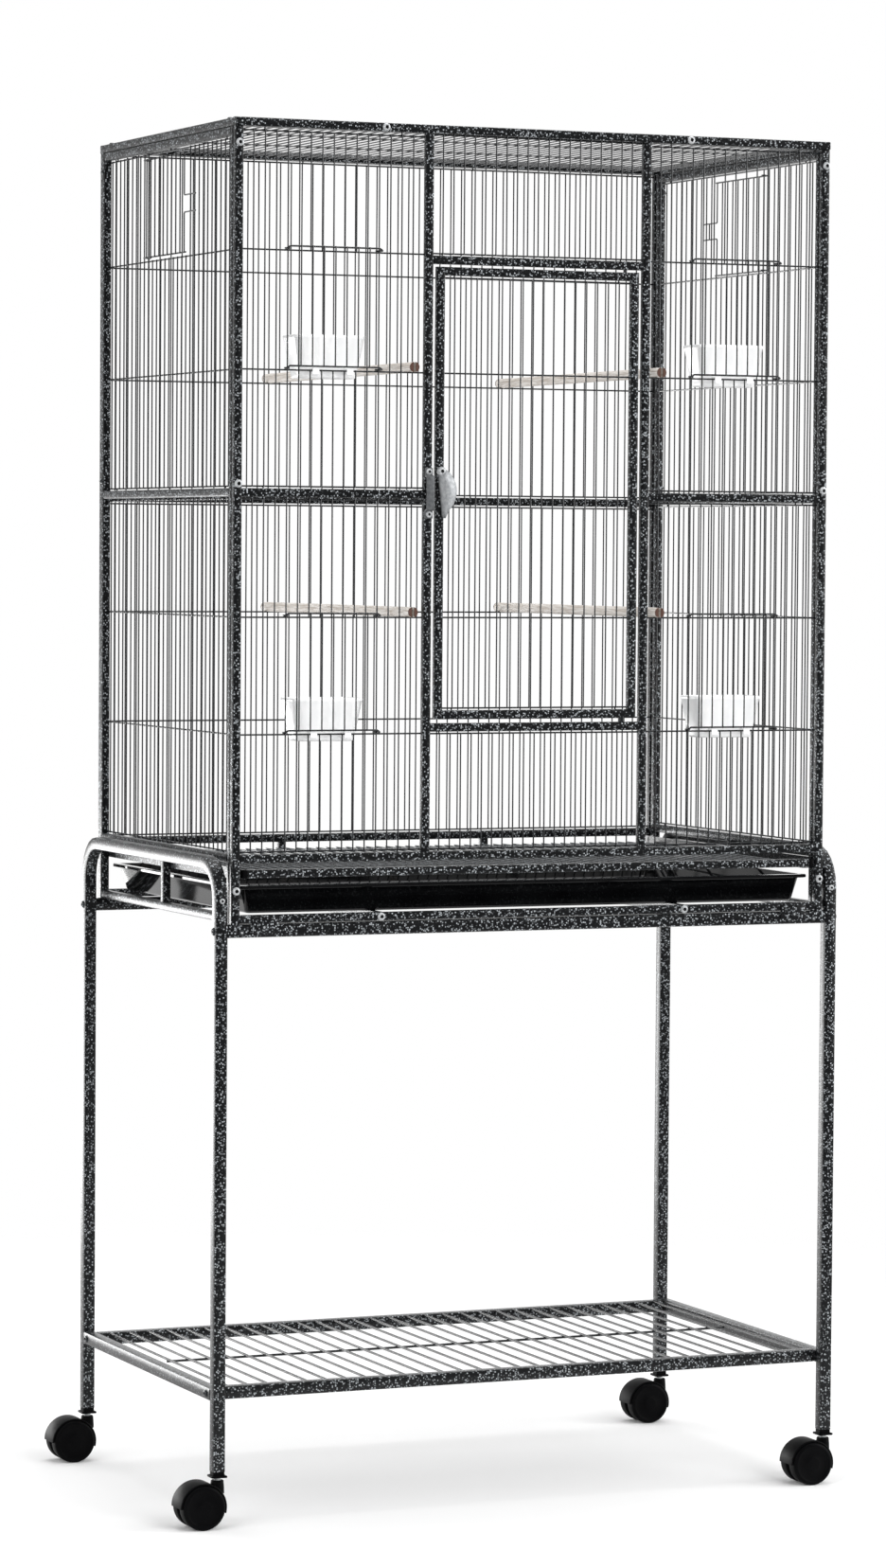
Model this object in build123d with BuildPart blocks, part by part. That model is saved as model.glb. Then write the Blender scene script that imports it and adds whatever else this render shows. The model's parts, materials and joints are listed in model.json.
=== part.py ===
"""Bird cage on a rolling stand, in millimetres.

+X runs to the right along the front, -Y is the front and +Z is up.
The origin is on the floor under the middle of the cage.
Welded tubes and wires stay separate touching solids inside their node.
"""

import os

from build123d import *

os.makedirs("parts", exist_ok=True)

# Cage box and tube sections
cage_top = 1626.0
cage_half_width = 382.0
cage_half_depth = 238.0
cage_tube = 10.0
cage_wall = 1.0
stand_tube = 15.0
stand_wall = 1.2
half_tube = cage_tube / 2
half_bar = stand_tube / 2

# Wire gauges and how the mesh sits in its frame
wire = 1.8
rung = 2.0
wire_setback = 4.9
edge_inset = 2.4
top_inset = 4.1
lug_width = 3.0

# Heights of the cage members (centre lines)
post_low = 699.0
base_rail = 705.0
bottom_rail = 775.0
mid_rail = 1197.0
side_top_rail = 1611.0
front_top_rail = 1621.0
cross_levels = (1476.0, 1338.5, 1053.5, 918.0)

# Back frame, a little narrower than the front and hung a little lower
back_inset = 1.5
back_mid_rail = 1194.0
back_bottom_rail = 769.5
back_strut_x = 138.5

# Main doorway
bay_half_width = 145.0
header_rail = 1470.0
sill_rail = 925.0
door_half_width = 130.0
door_low = 935.0
door_high = 1462.0
door_gaps = 17
pivot_x = 113.0
pin_radius = 2.25
pin_clearance = 0.05
pin_reach = 10.0
collar_radius = 4.0

# Latch of the main door
latch_pivot_x = -125.0
latch_pivot_z = 1224.0
lever_thick = 2.5
lever_gap = 1.6
lever_bore = 2.1
boss_radius = 5.5
screw_shank = 2.0
screw_head = 4.7
screw_head_high = 2.6
screw_clearance = 0.1
spacer_radius = 3.7
keeper_low = 1169.0
keeper_high = 1228.0
keeper_sheet = 1.5
keeper_rise = 6.5
keeper_foot = 10.0

# Mesh spacing
section_gaps = 16
bay_gaps = 20
side_gaps = 30
top_gaps = 56
back_count = 25
back_perch_count = 11

# Wires whose ends are welded to the rails, counted from the side of a panel
section_weld_wires = (2, 14)
back_weld_wires = (-23, -8, 8, 23)

# Feeder doors, cups and perches
feeder_wire = 8
guide_reach = 4
feeder_gap = 5.3
hook_gap = 0.7
hook_wire = 2.2
finger_gap = 0.5
seat_gap = 0.1
rail_lift = 2.4
finger_long = 5.0
cup_width = 88.0
cup_depth = 52.0
cup_high = 50.0
cup_wall = 1.8
cup_taper = 8.0
cup_round = 9.0
cup_drop = 8.5
cup_hook_at = 21.3
cup_hook_width = 8.0
cup_hook_sheet = 2.0
cup_hook_drop = 5.0
cup_hook_root = 0.5
cup_gap = 0.7
perch_radius = 6.0
perch_end = 240.0
perch_slot = 3.2
perch_seat = 0.8
perch_wire = 15

# Nest doors
nest_first = 10
nest_last = 20
nest_out = 384.0
nest_low = 1480.0
nest_high = 1596.5
nest_jog_low = 1526.5
nest_jog_high = 1546.5
nest_jog = 22.0
nest_tail = 38.0
ring_bore = 1.9
ring_outer = 3.6

# Tray, grate and runners
tray_low = 710.05
tray_high = 743.0
tray_half_width = 369.0
tray_front = -225.0
tray_back = 220.0
tray_rim = 7.0
tray_taper = 8.0
tray_sheet = 2.0
tray_round = 8.0
runner_x = 196.0
grate_half_width = 369.0
grate_back = 224.0
grate_level = 757.5
grate_rod = 4.0
grate_cross_y = (-80.0, 75.0)
grate_gaps = 54
grate_rest = 752.0
angle_reach = 12.0
angle_sheet = 1.2
angle_high = 12.0

# Stand
leg_x = 394.0
leg_y = 230.5
leg_low = 65.3
leg_top = 769.5
leg_bend = 42.5
cross_bar_level = 691.5
tie_level = 153.5
shelf_rail_y = 212.0
shelf_pitch = 24.85
shelf_reach = 15
shelf_wire = 3.0
bracket_inner = 325.0
bracket_outer = 359.0
bracket_low = 688.0
bracket_high = 708.0
bracket_sheet = 1.5

# Casters
wheel_radius = 26.0
wheel_inner = 4.2
wheel_outer = 20.0
wheel_edge = 2.5
wheel_dish = 1.2
trail = 22.0
hood_radius = 28.5
hood_bore = 26.8
hood_half_width = 17.0
web_half = 3.5
axle_radius = 3.0
axle_half = 18.0
axle_boss = 8.0
axle_end_gap = 0.3
stem_radius = 4.0
stem_high = 96.0
hood_top = 55.0
hood_boss = 7.5
hood_skirt = 7.5
socket_flange = 19.0
socket_low = 58.3
socket_thick = 2.4
socket_collar = 14.0
socket_plug = 12.2
socket_deep = 42.0

# Bolts
bolt_shank = 2.0
bolt_hole = 2.2
bolt_head = 4.5
bolt_head_high = 2.4
bolt_washer = 5.2
bolt_washer_thick = 0.8
panel_bolt_reach = 19.0
stand_bolt_reach = 24.0

front_y = -(cage_half_depth - half_tube)
back_y = cage_half_depth - half_tube
post_x = cage_half_width - half_tube
inner_x = cage_half_width - cage_tube
inner_front = -(cage_half_depth - cage_tube)
side_front = inner_front + cage_tube
inner_back = cage_half_depth - cage_tube
side_back = inner_back - cage_tube
back_half_width = cage_half_width - back_inset
back_post_x = back_half_width - half_tube
back_inner = back_half_width - cage_tube
mesh_front = -(cage_half_depth - wire_setback - wire)
mesh_side = cage_half_width - wire_setback - wire


def tube_run(start, end, size, wall):
    """Open square tube between two points."""
    path = Vector(*end) - Vector(*start)
    with BuildPart() as run:
        with BuildSketch(Plane(origin=start, z_dir=path)):
            Rectangle(size, size)
            Rectangle(size - 2 * wall, size - 2 * wall, mode=Mode.SUBTRACT)
        extrude(amount=path.length)
    return run.part


def cage_run(start, end):
    """Cage tube between two points."""
    return tube_run(start, end, cage_tube, cage_wall)


def stand_run(start, end):
    """Stand tube between two points."""
    return tube_run(start, end, stand_tube, stand_wall)


def drilled(run, spots, direction, radius):
    """Tube with round holes cut through it along one direction."""
    with BuildPart() as cut:
        add(run)
        for spot in spots:
            with Locations(Plane(origin=spot, z_dir=direction)):
                Cylinder(radius, 4 * stand_tube, mode=Mode.SUBTRACT)
    return cut.part


def block(low, high):
    """Square-edged bar between two opposite corners."""
    size = [b - a for a, b in zip(low, high)]
    middle = [(a + b) / 2 for a, b in zip(low, high)]
    with BuildPart() as bar:
        with Locations(tuple(middle)):
            Box(*size)
    return bar.part


def rods(plane, bars, depth):
    """Rods lying on one plane, each (left, low, right, high), raised by depth."""
    sizes = {}
    for left, low, right, high in bars:
        size = (round(right - left, 4), round(high - low, 4))
        sizes.setdefault(size, []).append(((left + right) / 2, (low + high) / 2))
    with BuildPart() as laid:
        with BuildSketch(plane):
            for size, spots in sizes.items():
                with Locations(*spots):
                    Rectangle(*size)
        extrude(amount=depth)
    return laid.part


def uprights(places, low, high):
    """Upright wires at the given places."""
    return [(at - wire / 2, low, at + wire / 2, high) for at in places]


def cross_wires(levels, left, right):
    """Cross wires at the given levels."""
    return [(left, at - rung / 2, right, at + rung / 2) for at in levels]


def lugs(places, face, inward, inset=edge_inset):
    """Short welds from a rail face to the end cross wire beside it."""
    near = face + inward * (inset - rung / 2)
    low, high = min(face, near), max(face, near)
    return [(at - lug_width / 2, low, at + lug_width / 2, high) for at in places]


def edge_span(low, high, high_inset=edge_inset):
    """Ends of the uprights in a panel between two rail faces."""
    return low + edge_inset - rung / 2, high - high_inset + rung / 2


def evenly(start, end, gaps):
    """Places of the wires that split a width into equal gaps."""
    step = (end - start) / gaps
    return [start + step * count for count in range(1, gaps)]


def gather(label, *pieces):
    """Write one node made of separate touching solids."""
    solids = [solid for piece in pieces for solid in piece.solids()]
    node = Compound(solids)
    node.label = label
    export_step(node, f"parts/{label}.step")
    return node


def bolt(spot, direction, reach):
    """Round-headed bolt with its washer; the washer seats on the spot."""
    with BuildPart() as fastener:
        with BuildSketch(Plane(origin=spot, z_dir=direction)):
            Circle(bolt_washer)
        extrude(amount=bolt_washer_thick)
        with BuildSketch(Plane(origin=spot, z_dir=direction).offset(bolt_washer_thick)):
            Circle(bolt_head)
        extrude(amount=bolt_head_high - bolt_washer_thick, taper=25)
        with BuildSketch(Plane(origin=spot, z_dir=direction)):
            Circle(bolt_shank)
        extrude(amount=-reach)
    return fastener.part


# Leg frames: each one square tube bent into an upturned U
def leg_frame(side):
    """Bent leg frame on one side, drilled for its bolts."""
    centre = side * leg_x
    with BuildPart() as frame:
        with BuildLine(Plane(origin=(centre, 0, 0), x_dir=(0, 1, 0), z_dir=(1, 0, 0))) as path:
            FilletPolyline(
                (-leg_y, leg_low), (-leg_y, leg_top), (leg_y, leg_top), (leg_y, leg_low), radius=leg_bend
            )
        with BuildSketch(Plane(origin=path.wire() @ 0, x_dir=(1, 0, 0), z_dir=(0, 0, 1))):
            Rectangle(stand_tube, stand_tube)
            inside = stand_tube - 2 * stand_wall
            Rectangle(inside, inside, mode=Mode.SUBTRACT)
        sweep()
        for y in (-leg_y, leg_y):
            with Locations(Plane(origin=(centre, y, cross_bar_level), z_dir=(1, 0, 0))):
                Cylinder(bolt_hole, 2 * stand_tube, mode=Mode.SUBTRACT)
    return frame.part


left_leg_frame = gather("left_leg_frame", leg_frame(-1))
right_leg_frame = gather("right_leg_frame", leg_frame(1))

tie_end = leg_y - half_bar
leg_ties = gather(
    "leg_ties",
    *[
        drilled(
            stand_run((side * leg_x, -tie_end, tie_level), (side * leg_x, tie_end, tie_level)),
            [(side * leg_x, y, tie_level) for y in (-shelf_rail_y, shelf_rail_y)],
            (1, 0, 0),
            bolt_hole,
        )
        for side in (-1, 1)
    ],
)

bar_end = leg_x - half_bar
front_cross_bar = gather(
    "front_cross_bar", stand_run((-bar_end, -leg_y, cross_bar_level), (bar_end, -leg_y, cross_bar_level))
)
back_cross_bar = gather(
    "back_cross_bar", stand_run((-bar_end, leg_y, cross_bar_level), (bar_end, leg_y, cross_bar_level))
)

bracket_plates = []
for side in (-1, 1):
    for face in (-1, 1):
        across = sorted((side * bracket_inner, side * bracket_outer))
        deep = sorted((face * cage_half_depth, face * (cage_half_depth + bracket_sheet)))
        bracket_plates.append(block((across[0], deep[0], bracket_low), (across[1], deep[1], bracket_high)))
corner_brackets = gather("corner_brackets", *bracket_plates)

# Shelf low on the stand
shelf_inner = shelf_rail_y - half_bar
shelf_rails = gather(
    "shelf_rails",
    *[stand_run((-bar_end, y, tie_level), (bar_end, y, tie_level)) for y in (-shelf_rail_y, shelf_rail_y)],
)
shelf_bars = []
for count in range(-shelf_reach, shelf_reach + 1):
    at = shelf_pitch * count
    shelf_bars.append((at - shelf_wire / 2, -shelf_inner, at + shelf_wire / 2, shelf_inner))
shelf_plane = Plane.XY.offset(tie_level + half_bar - shelf_wire)
rod_end = shelf_pitch * shelf_reach + shelf_wire / 2
shelf_rod = [(-rod_end, -shelf_wire / 2, rod_end, shelf_wire / 2)]
shelf_wires = gather(
    "shelf_wires",
    rods(shelf_plane, shelf_bars, shelf_wire),
    rods(shelf_plane.offset(-shelf_wire), shelf_rod, shelf_wire),
)

# Front frame
rail_top = front_top_rail - half_tube
bottom_top = bottom_rail + half_tube
bolt_levels = (1597.0, 1207.0, 738.0)
front_runs = []
for side in (-1, 1):
    post = cage_run((side * post_x, front_y, post_low), (side * post_x, front_y, rail_top))
    holes = [(side * post_x, front_y, level) for level in bolt_levels]
    front_runs.append(drilled(post, holes, (0, 1, 0), bolt_hole))
    bay_x = side * (bay_half_width - half_tube)
    front_runs.append(cage_run((bay_x, front_y, bottom_top), (bay_x, front_y, rail_top)))
    front_runs.append(
        cage_run((side * inner_x, front_y, mid_rail), (side * bay_half_width, front_y, mid_rail))
    )
bay_inner = bay_half_width - cage_tube
for level in (header_rail, sill_rail):
    front_runs.append(cage_run((-bay_inner, front_y, level), (bay_inner, front_y, level)))
for level in (bottom_rail, base_rail):
    front_runs.append(cage_run((-inner_x, front_y, level), (inner_x, front_y, level)))
front_runs.append(
    cage_run((-cage_half_width, front_y, front_top_rail), (cage_half_width, front_y, front_top_rail))
)
front_frame = gather("front_frame", *front_runs)

# Side frames
side_top = side_top_rail + half_tube
side_bolt_levels = (1593.0, 1214.0, 738.0)


def side_frame(side):
    """Members of one side frame."""
    x = side * post_x
    front_post_y = side_front - half_tube
    front_post = cage_run((x, front_post_y, post_low), (x, front_post_y, side_top))
    back_post_y = side_back + half_tube
    back_post = cage_run((x, back_post_y, post_low), (x, back_post_y, side_top))
    back_holes = [(side * back_post_x, back_post_y, level) for level in side_bolt_levels]
    members = [
        drilled(front_post, [(x, front_post_y, level) for level in bolt_levels], (0, 1, 0), bolt_hole),
        drilled(back_post, back_holes, (0, 1, 0), bolt_hole),
    ]
    for level in (side_top_rail, mid_rail, bottom_rail, base_rail):
        members.append(cage_run((x, side_front, level), (x, side_back, level)))
    members.append(cage_run((x, 0, base_rail + half_tube), (x, 0, bottom_rail - half_tube)))
    return members


left_frame = gather("left_frame", *side_frame(-1))
right_frame = gather("right_frame", *side_frame(1))

# Back frame, standing behind the side frames
back_bottom_top = back_bottom_rail + half_tube
strut_low, strut_high = base_rail + half_tube, back_bottom_rail - half_tube
back_runs = []
for side in (-1, 1):
    x = side * back_post_x
    post = cage_run((x, back_y, post_low), (x, back_y, rail_top))
    back_runs.append(drilled(post, [(x, back_y, level) for level in side_bolt_levels], (0, 1, 0), bolt_hole))
    strut_x = side * back_strut_x
    back_runs.append(cage_run((strut_x, back_y, strut_low), (strut_x, back_y, strut_high)))
for level in (back_mid_rail, back_bottom_rail, base_rail):
    back_runs.append(cage_run((-back_inner, back_y, level), (back_inner, back_y, level)))
back_runs.append(
    cage_run((-back_half_width, back_y, front_top_rail), (back_half_width, back_y, front_top_rail))
)
back_frame = gather("back_frame", *back_runs)

# Top frame, over the side frames and between the front and back top rails
top_runs = []
for side in (-1, 1):
    top_runs.append(
        cage_run((side * post_x, inner_front, front_top_rail), (side * post_x, inner_back, front_top_rail))
    )
for y in (side_front - half_tube, side_back + half_tube):
    top_runs.append(cage_run((-inner_x, y, front_top_rail), (inner_x, y, front_top_rail)))
top_frame = gather("top_frame", *top_runs)

# Wire mesh of the front sections beside the door, cut behind the feeder doors
front_plane = Plane.XZ.offset(-mesh_front)
section_step = (inner_x - bay_half_width) / section_gaps
feeder_x = inner_x - section_step * feeder_wire
cut_wires = range(feeder_wire - guide_reach + 2, feeder_wire + guide_reach - 1)
upper_low, upper_high = mid_rail + half_tube, rail_top
lower_low, lower_high = bottom_top, mid_rail - half_tube


def front_mesh(label, side):
    """Mesh of the front section on one side of the doorway."""
    left, right = sorted((side * inner_x, side * bay_half_width))
    bars = []
    for count in range(1, section_gaps):
        at = side * (inner_x - section_step * count)
        for low, high, inset, cut_high, cut_low in (
            (upper_low, upper_high, top_inset, cross_levels[0], cross_levels[1]),
            (lower_low, lower_high, edge_inset, cross_levels[2], cross_levels[3]),
        ):
            start, end = edge_span(low, high, inset)
            if count in cut_wires:
                bars += uprights([at], start, cut_low + rung / 2)
                bars += uprights([at], cut_high - rung / 2, end)
            else:
                bars += uprights([at], start, end)
    lug_places = [side * (inner_x - section_step * count) for count in section_weld_wires]
    ends = []
    welds = []
    for face, inward, inset in (
        (upper_low, 1, edge_inset),
        (upper_high, -1, top_inset),
        (lower_low, 1, edge_inset),
        (lower_high, -1, edge_inset),
    ):
        ends.append(face + inward * inset)
        welds += lugs(lug_places, face, inward, inset)
    crosses = cross_wires(list(cross_levels) + ends, left, right)
    return gather(
        label,
        rods(front_plane, bars, wire),
        rods(front_plane.offset(-rung), crosses, rung),
        rods(front_plane.offset(-rung), welds, rung),
    )


front_left_mesh = front_mesh("front_left_mesh", -1)
front_right_mesh = front_mesh("front_right_mesh", 1)

# Mesh over and under the doorway
bay_bars = []
bay_crosses = []
bay_welds = []
bay_places = evenly(-bay_inner, bay_inner, bay_gaps)
bay_ends = [bay_places[0], bay_places[-2]]
for low, high, inset in (
    (header_rail + half_tube, rail_top, rung / 2),
    (bottom_top, sill_rail - half_tube, edge_inset),
):
    bay_bars += uprights(bay_places, *edge_span(low, high, inset))
    bay_crosses += cross_wires([low + edge_inset, high - inset], -bay_inner, bay_inner)
    bay_welds += lugs(bay_ends, low, 1)
    if inset > rung / 2:
        bay_welds += lugs(bay_ends, high, -1)
door_bay_mesh = gather(
    "door_bay_mesh",
    rods(front_plane, bay_bars, wire),
    rods(front_plane.offset(-rung), bay_crosses, rung),
    rods(front_plane.offset(-rung), bay_welds, rung),
)

# Side meshes, cut behind the nest doors
side_places = evenly(side_front, side_back, side_gaps)
side_upper_high = side_top_rail - half_tube


def side_mesh(label, side):
    """Mesh of one side frame."""
    bars = []
    for count, at in enumerate(side_places, start=1):
        start, end = edge_span(upper_low, side_upper_high)
        if nest_first < count < nest_last:
            end = cross_levels[0] + rung / 2
        bars += uprights([at], start, end)
        bars += uprights([at], *edge_span(lower_low, lower_high))
    faces = (upper_low, 1), (side_upper_high, -1), (lower_low, 1), (lower_high, -1)
    ends = [face + inward * edge_inset for face, inward in faces]
    crosses = cross_wires(list(cross_levels) + ends, side_front, side_back)
    welds = []
    for face, inward in faces:
        welds += lugs([side_places[1], side_places[14], side_places[-2]], face, inward)
    wire_face = mesh_side if side > 0 else -mesh_side - wire
    rung_face = mesh_side - rung if side > 0 else -mesh_side
    return gather(
        label,
        rods(Plane.YZ.offset(wire_face), bars, wire),
        rods(Plane.YZ.offset(rung_face), crosses, rung),
        rods(Plane.YZ.offset(rung_face), welds, rung),
    )


left_mesh = side_mesh("left_mesh", -1)
right_mesh = side_mesh("right_mesh", 1)

# Back mesh, spaced so that one wire stands behind each perch
perch_x = inner_x - section_step * perch_wire
back_step = perch_x / back_perch_count
back_places = [back_step * count for count in range(-back_count, back_count + 1)]
back_mid_top = back_mid_rail + half_tube
back_mid_low = back_mid_rail - half_tube
back_faces = (back_mid_top, 1), (rail_top, -1), (back_bottom_top, 1), (back_mid_low, -1)
back_bars = uprights(back_places, *edge_span(back_mid_top, rail_top))
back_bars += uprights(back_places, *edge_span(back_bottom_top, back_mid_low))
back_ends = [face + inward * edge_inset for face, inward in back_faces]
back_crosses = cross_wires(list(cross_levels) + back_ends, -back_inner, back_inner)
back_welds = []
for face, inward in back_faces:
    back_welds += lugs([back_step * count for count in back_weld_wires], face, inward)
back_plane = Plane.XZ.offset(mesh_front - wire)
back_mesh = gather(
    "back_mesh",
    rods(back_plane, back_bars, wire),
    rods(back_plane.offset(wire), back_crosses, rung),
    rods(back_plane.offset(wire), back_welds, rung),
)

# Top mesh: wires front to back under two cross wires
top_places = evenly(-inner_x, inner_x, top_gaps)
top_level = front_top_rail - rung / 2 - wire
top_bars = uprights(top_places, *edge_span(side_front, side_back))
top_third = (side_back - side_front) / 3
top_rungs = [side_front + top_third, side_back - top_third]
top_rungs += [side_front + edge_inset, side_back - edge_inset]
top_crosses = cross_wires(top_rungs, -inner_x, inner_x)
top_ends = [top_places[1], top_places[18], top_places[36], top_places[-2]]
top_welds = lugs(top_ends, side_front, 1) + lugs(top_ends, side_back, -1)
top_plane = Plane.XY.offset(top_level)
top_mesh = gather(
    "top_mesh",
    rods(top_plane, top_bars, wire),
    rods(top_plane.offset(wire), top_crosses, rung),
    rods(top_plane.offset(wire), top_welds, rung),
)

# Main door: tube frame with holes for its pivot pins and the latch screw
stile_x = door_half_width - half_tube
door_rail = door_half_width - cage_tube
left_stile = cage_run((-stile_x, front_y, door_low), (-stile_x, front_y, door_high))
right_stile = cage_run((stile_x, front_y, door_low), (stile_x, front_y, door_high))
door_rails = []
for level, wall_level in ((door_high - half_tube, door_high), (door_low + half_tube, door_low)):
    with BuildPart() as pivot_rail:
        add(cage_run((-door_rail, front_y, level), (door_rail, front_y, level)))
        with Locations((pivot_x, front_y, wall_level)):
            Cylinder(pin_radius + pin_clearance, 4 * cage_wall, mode=Mode.SUBTRACT)
    door_rails.append(pivot_rail.part)
with BuildPart() as latch_stile:
    add(left_stile)
    with Locations(Plane(origin=(latch_pivot_x, -cage_half_depth, latch_pivot_z), z_dir=(0, 1, 0))):
        Cylinder(screw_shank + screw_clearance, 4 * cage_wall, mode=Mode.SUBTRACT)
main_door_frame = gather("main_door_frame", latch_stile.part, right_stile, *door_rails)

door_mesh_low = door_low + cage_tube
door_mesh_high = door_high - cage_tube
door_places = evenly(-door_rail, door_rail, door_gaps)
door_bars = uprights(door_places, *edge_span(door_mesh_low, door_mesh_high))
door_levels = [cross_levels[1], cross_levels[2], door_mesh_low + edge_inset, door_mesh_high - edge_inset]
door_crosses = cross_wires(door_levels, -door_rail, door_rail)
door_ends = [door_places[0], door_places[-1]]
door_welds = lugs(door_ends, door_mesh_low, 1) + lugs(door_ends, door_mesh_high, -1)
main_door_mesh = gather(
    "main_door_mesh",
    rods(front_plane, door_bars, wire),
    rods(front_plane.offset(-rung), door_crosses, rung),
    rods(front_plane.offset(-rung), door_welds, rung),
)

# Pivot pins of the main door, welded to header and sill
with BuildPart() as top_pin:
    with BuildSketch(Plane((pivot_x, front_y, header_rail - half_tube))):
        Circle(pin_radius)
    extrude(amount=-pin_reach)
with BuildPart() as sill_pin:
    with BuildSketch(Plane((pivot_x, front_y, sill_rail + half_tube))):
        Circle(pin_radius)
    extrude(amount=pin_reach)
    with BuildSketch(Plane((pivot_x, front_y, sill_rail + half_tube))):
        Circle(collar_radius)
    extrude(amount=door_low - sill_rail - half_tube - seat_gap)
hinge_pins = gather("hinge_pins", top_pin.part, sill_pin.part)

# Latch keeper: a bridged strap on the frame beside the door
keeper_x = -bay_half_width + half_tube
keeper_face = -cage_half_depth
with BuildPart() as latch_keeper:
    with BuildSketch(Plane.YZ.offset(keeper_x - half_tube)):
        with BuildLine():
            Polyline(
                (keeper_face, keeper_low),
                (keeper_face - keeper_sheet, keeper_low),
                (keeper_face - keeper_sheet, keeper_low + keeper_foot - keeper_sheet),
                (keeper_face - keeper_rise, keeper_low + keeper_foot),
                (keeper_face - keeper_rise, keeper_high - keeper_foot),
                (keeper_face - keeper_sheet, keeper_high - keeper_foot + keeper_sheet),
                (keeper_face - keeper_sheet, keeper_high),
                (keeper_face, keeper_high),
                (keeper_face, keeper_high - keeper_foot),
                (keeper_face - keeper_rise + keeper_sheet, keeper_high - keeper_foot - keeper_sheet),
                (keeper_face - keeper_rise + keeper_sheet, keeper_low + keeper_foot + keeper_sheet),
                (keeper_face, keeper_low + keeper_foot),
                close=True,
            )
        make_face()
    extrude(amount=cage_tube)
latch_keeper.part.label = "latch_keeper"
export_step(latch_keeper.part, "parts/latch_keeper.step")

# Latch lever: a cast thumb piece that turns on a screw in the door stile
lever_back = -cage_half_depth - lever_gap
lever_plane = Plane(origin=(latch_pivot_x, lever_back, latch_pivot_z), x_dir=(1, 0, 0), z_dir=(0, -1, 0))
with BuildPart() as latch_lever:
    with BuildSketch(lever_plane):
        with BuildLine():
            Polyline((-3.0, 0), (-3.0, -12.0), (1.0, -50.0), (2.5, -54.5), (5.5, -54.5))
            ThreePointArc((5.5, -54.5), (19.4, -21.0), (4.0, 3.0))
            Line((4.0, 3.0), (-3.0, 0))
        make_face()
        Circle(boss_radius)
        Circle(lever_bore, mode=Mode.SUBTRACT)
    extrude(amount=lever_thick)
latch_lever.part.label = "latch_lever"
export_step(latch_lever.part, "parts/latch_lever.step")

with BuildPart() as latch_pivot_screw:
    with BuildSketch(lever_plane.offset(-lever_gap)):
        Circle(spacer_radius)
        Circle(screw_shank, mode=Mode.SUBTRACT)
    extrude(amount=lever_gap - seat_gap)
    with BuildSketch(lever_plane.offset(lever_thick + seat_gap)):
        Circle(screw_head)
    extrude(amount=screw_head_high, taper=20)
    with BuildSketch(lever_plane.offset(-lever_gap - 2 * cage_wall)):
        Circle(screw_shank)
    extrude(amount=lever_gap + 2 * cage_wall + lever_thick + seat_gap)
latch_pivot_screw.part.label = "latch_pivot_screw"
export_step(latch_pivot_screw.part, "parts/latch_pivot_screw.step")

# Feeder doors: wire gates that lift on two guide wires
gate_back = mesh_front - wire - feeder_gap


def feeder_door(label, side, high_level, low_level):
    """One lifting gate with hooks round its guide wires."""
    middle = side * feeder_x
    low = low_level + rung / 2 + seat_gap
    high = high_level + rung / 2 + seat_gap
    reach = section_step * guide_reach + wire / 2 + hook_gap
    end = reach + hook_wire
    bars = []
    for count in range(-guide_reach + 1, guide_reach):
        at = middle + section_step * count
        bars += uprights([at], low + rail_lift, high + rail_lift + hook_wire)
    gate_plane = Plane.XZ.offset(-gate_back)
    pieces = [rods(gate_plane, bars, wire)]
    rails = []
    for level in (low + rail_lift, high + rail_lift):
        rails.append((middle - end, level, middle + end, level + hook_wire))
    pieces.append(rods(gate_plane.offset(-hook_wire), rails, hook_wire))
    finger_front = mesh_front + finger_gap
    for level in (low, high):
        for hand in (-1, 1):
            legs = sorted((middle + hand * reach, middle + hand * end))
            pieces.append(
                block(
                    (legs[0], gate_back + hook_wire, level),
                    (legs[1], finger_front + hook_wire, level + rail_lift + hook_wire),
                )
            )
            tips = sorted((middle + hand * reach, middle + hand * (reach - finger_long)))
            pieces.append(
                block((tips[0], finger_front, level), (tips[1], finger_front + hook_wire, level + hook_wire))
            )
    return gather(label, *pieces)


upper_left_feeder_door = feeder_door("upper_left_feeder_door", -1, cross_levels[0], cross_levels[1])
upper_right_feeder_door = feeder_door("upper_right_feeder_door", 1, cross_levels[0], cross_levels[1])
lower_left_feeder_door = feeder_door("lower_left_feeder_door", -1, cross_levels[2], cross_levels[3])
lower_right_feeder_door = feeder_door("lower_right_feeder_door", 1, cross_levels[2], cross_levels[3])

# Food cups, hooked over the cross wire behind each feeder door
rung_back = mesh_front + rung


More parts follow.
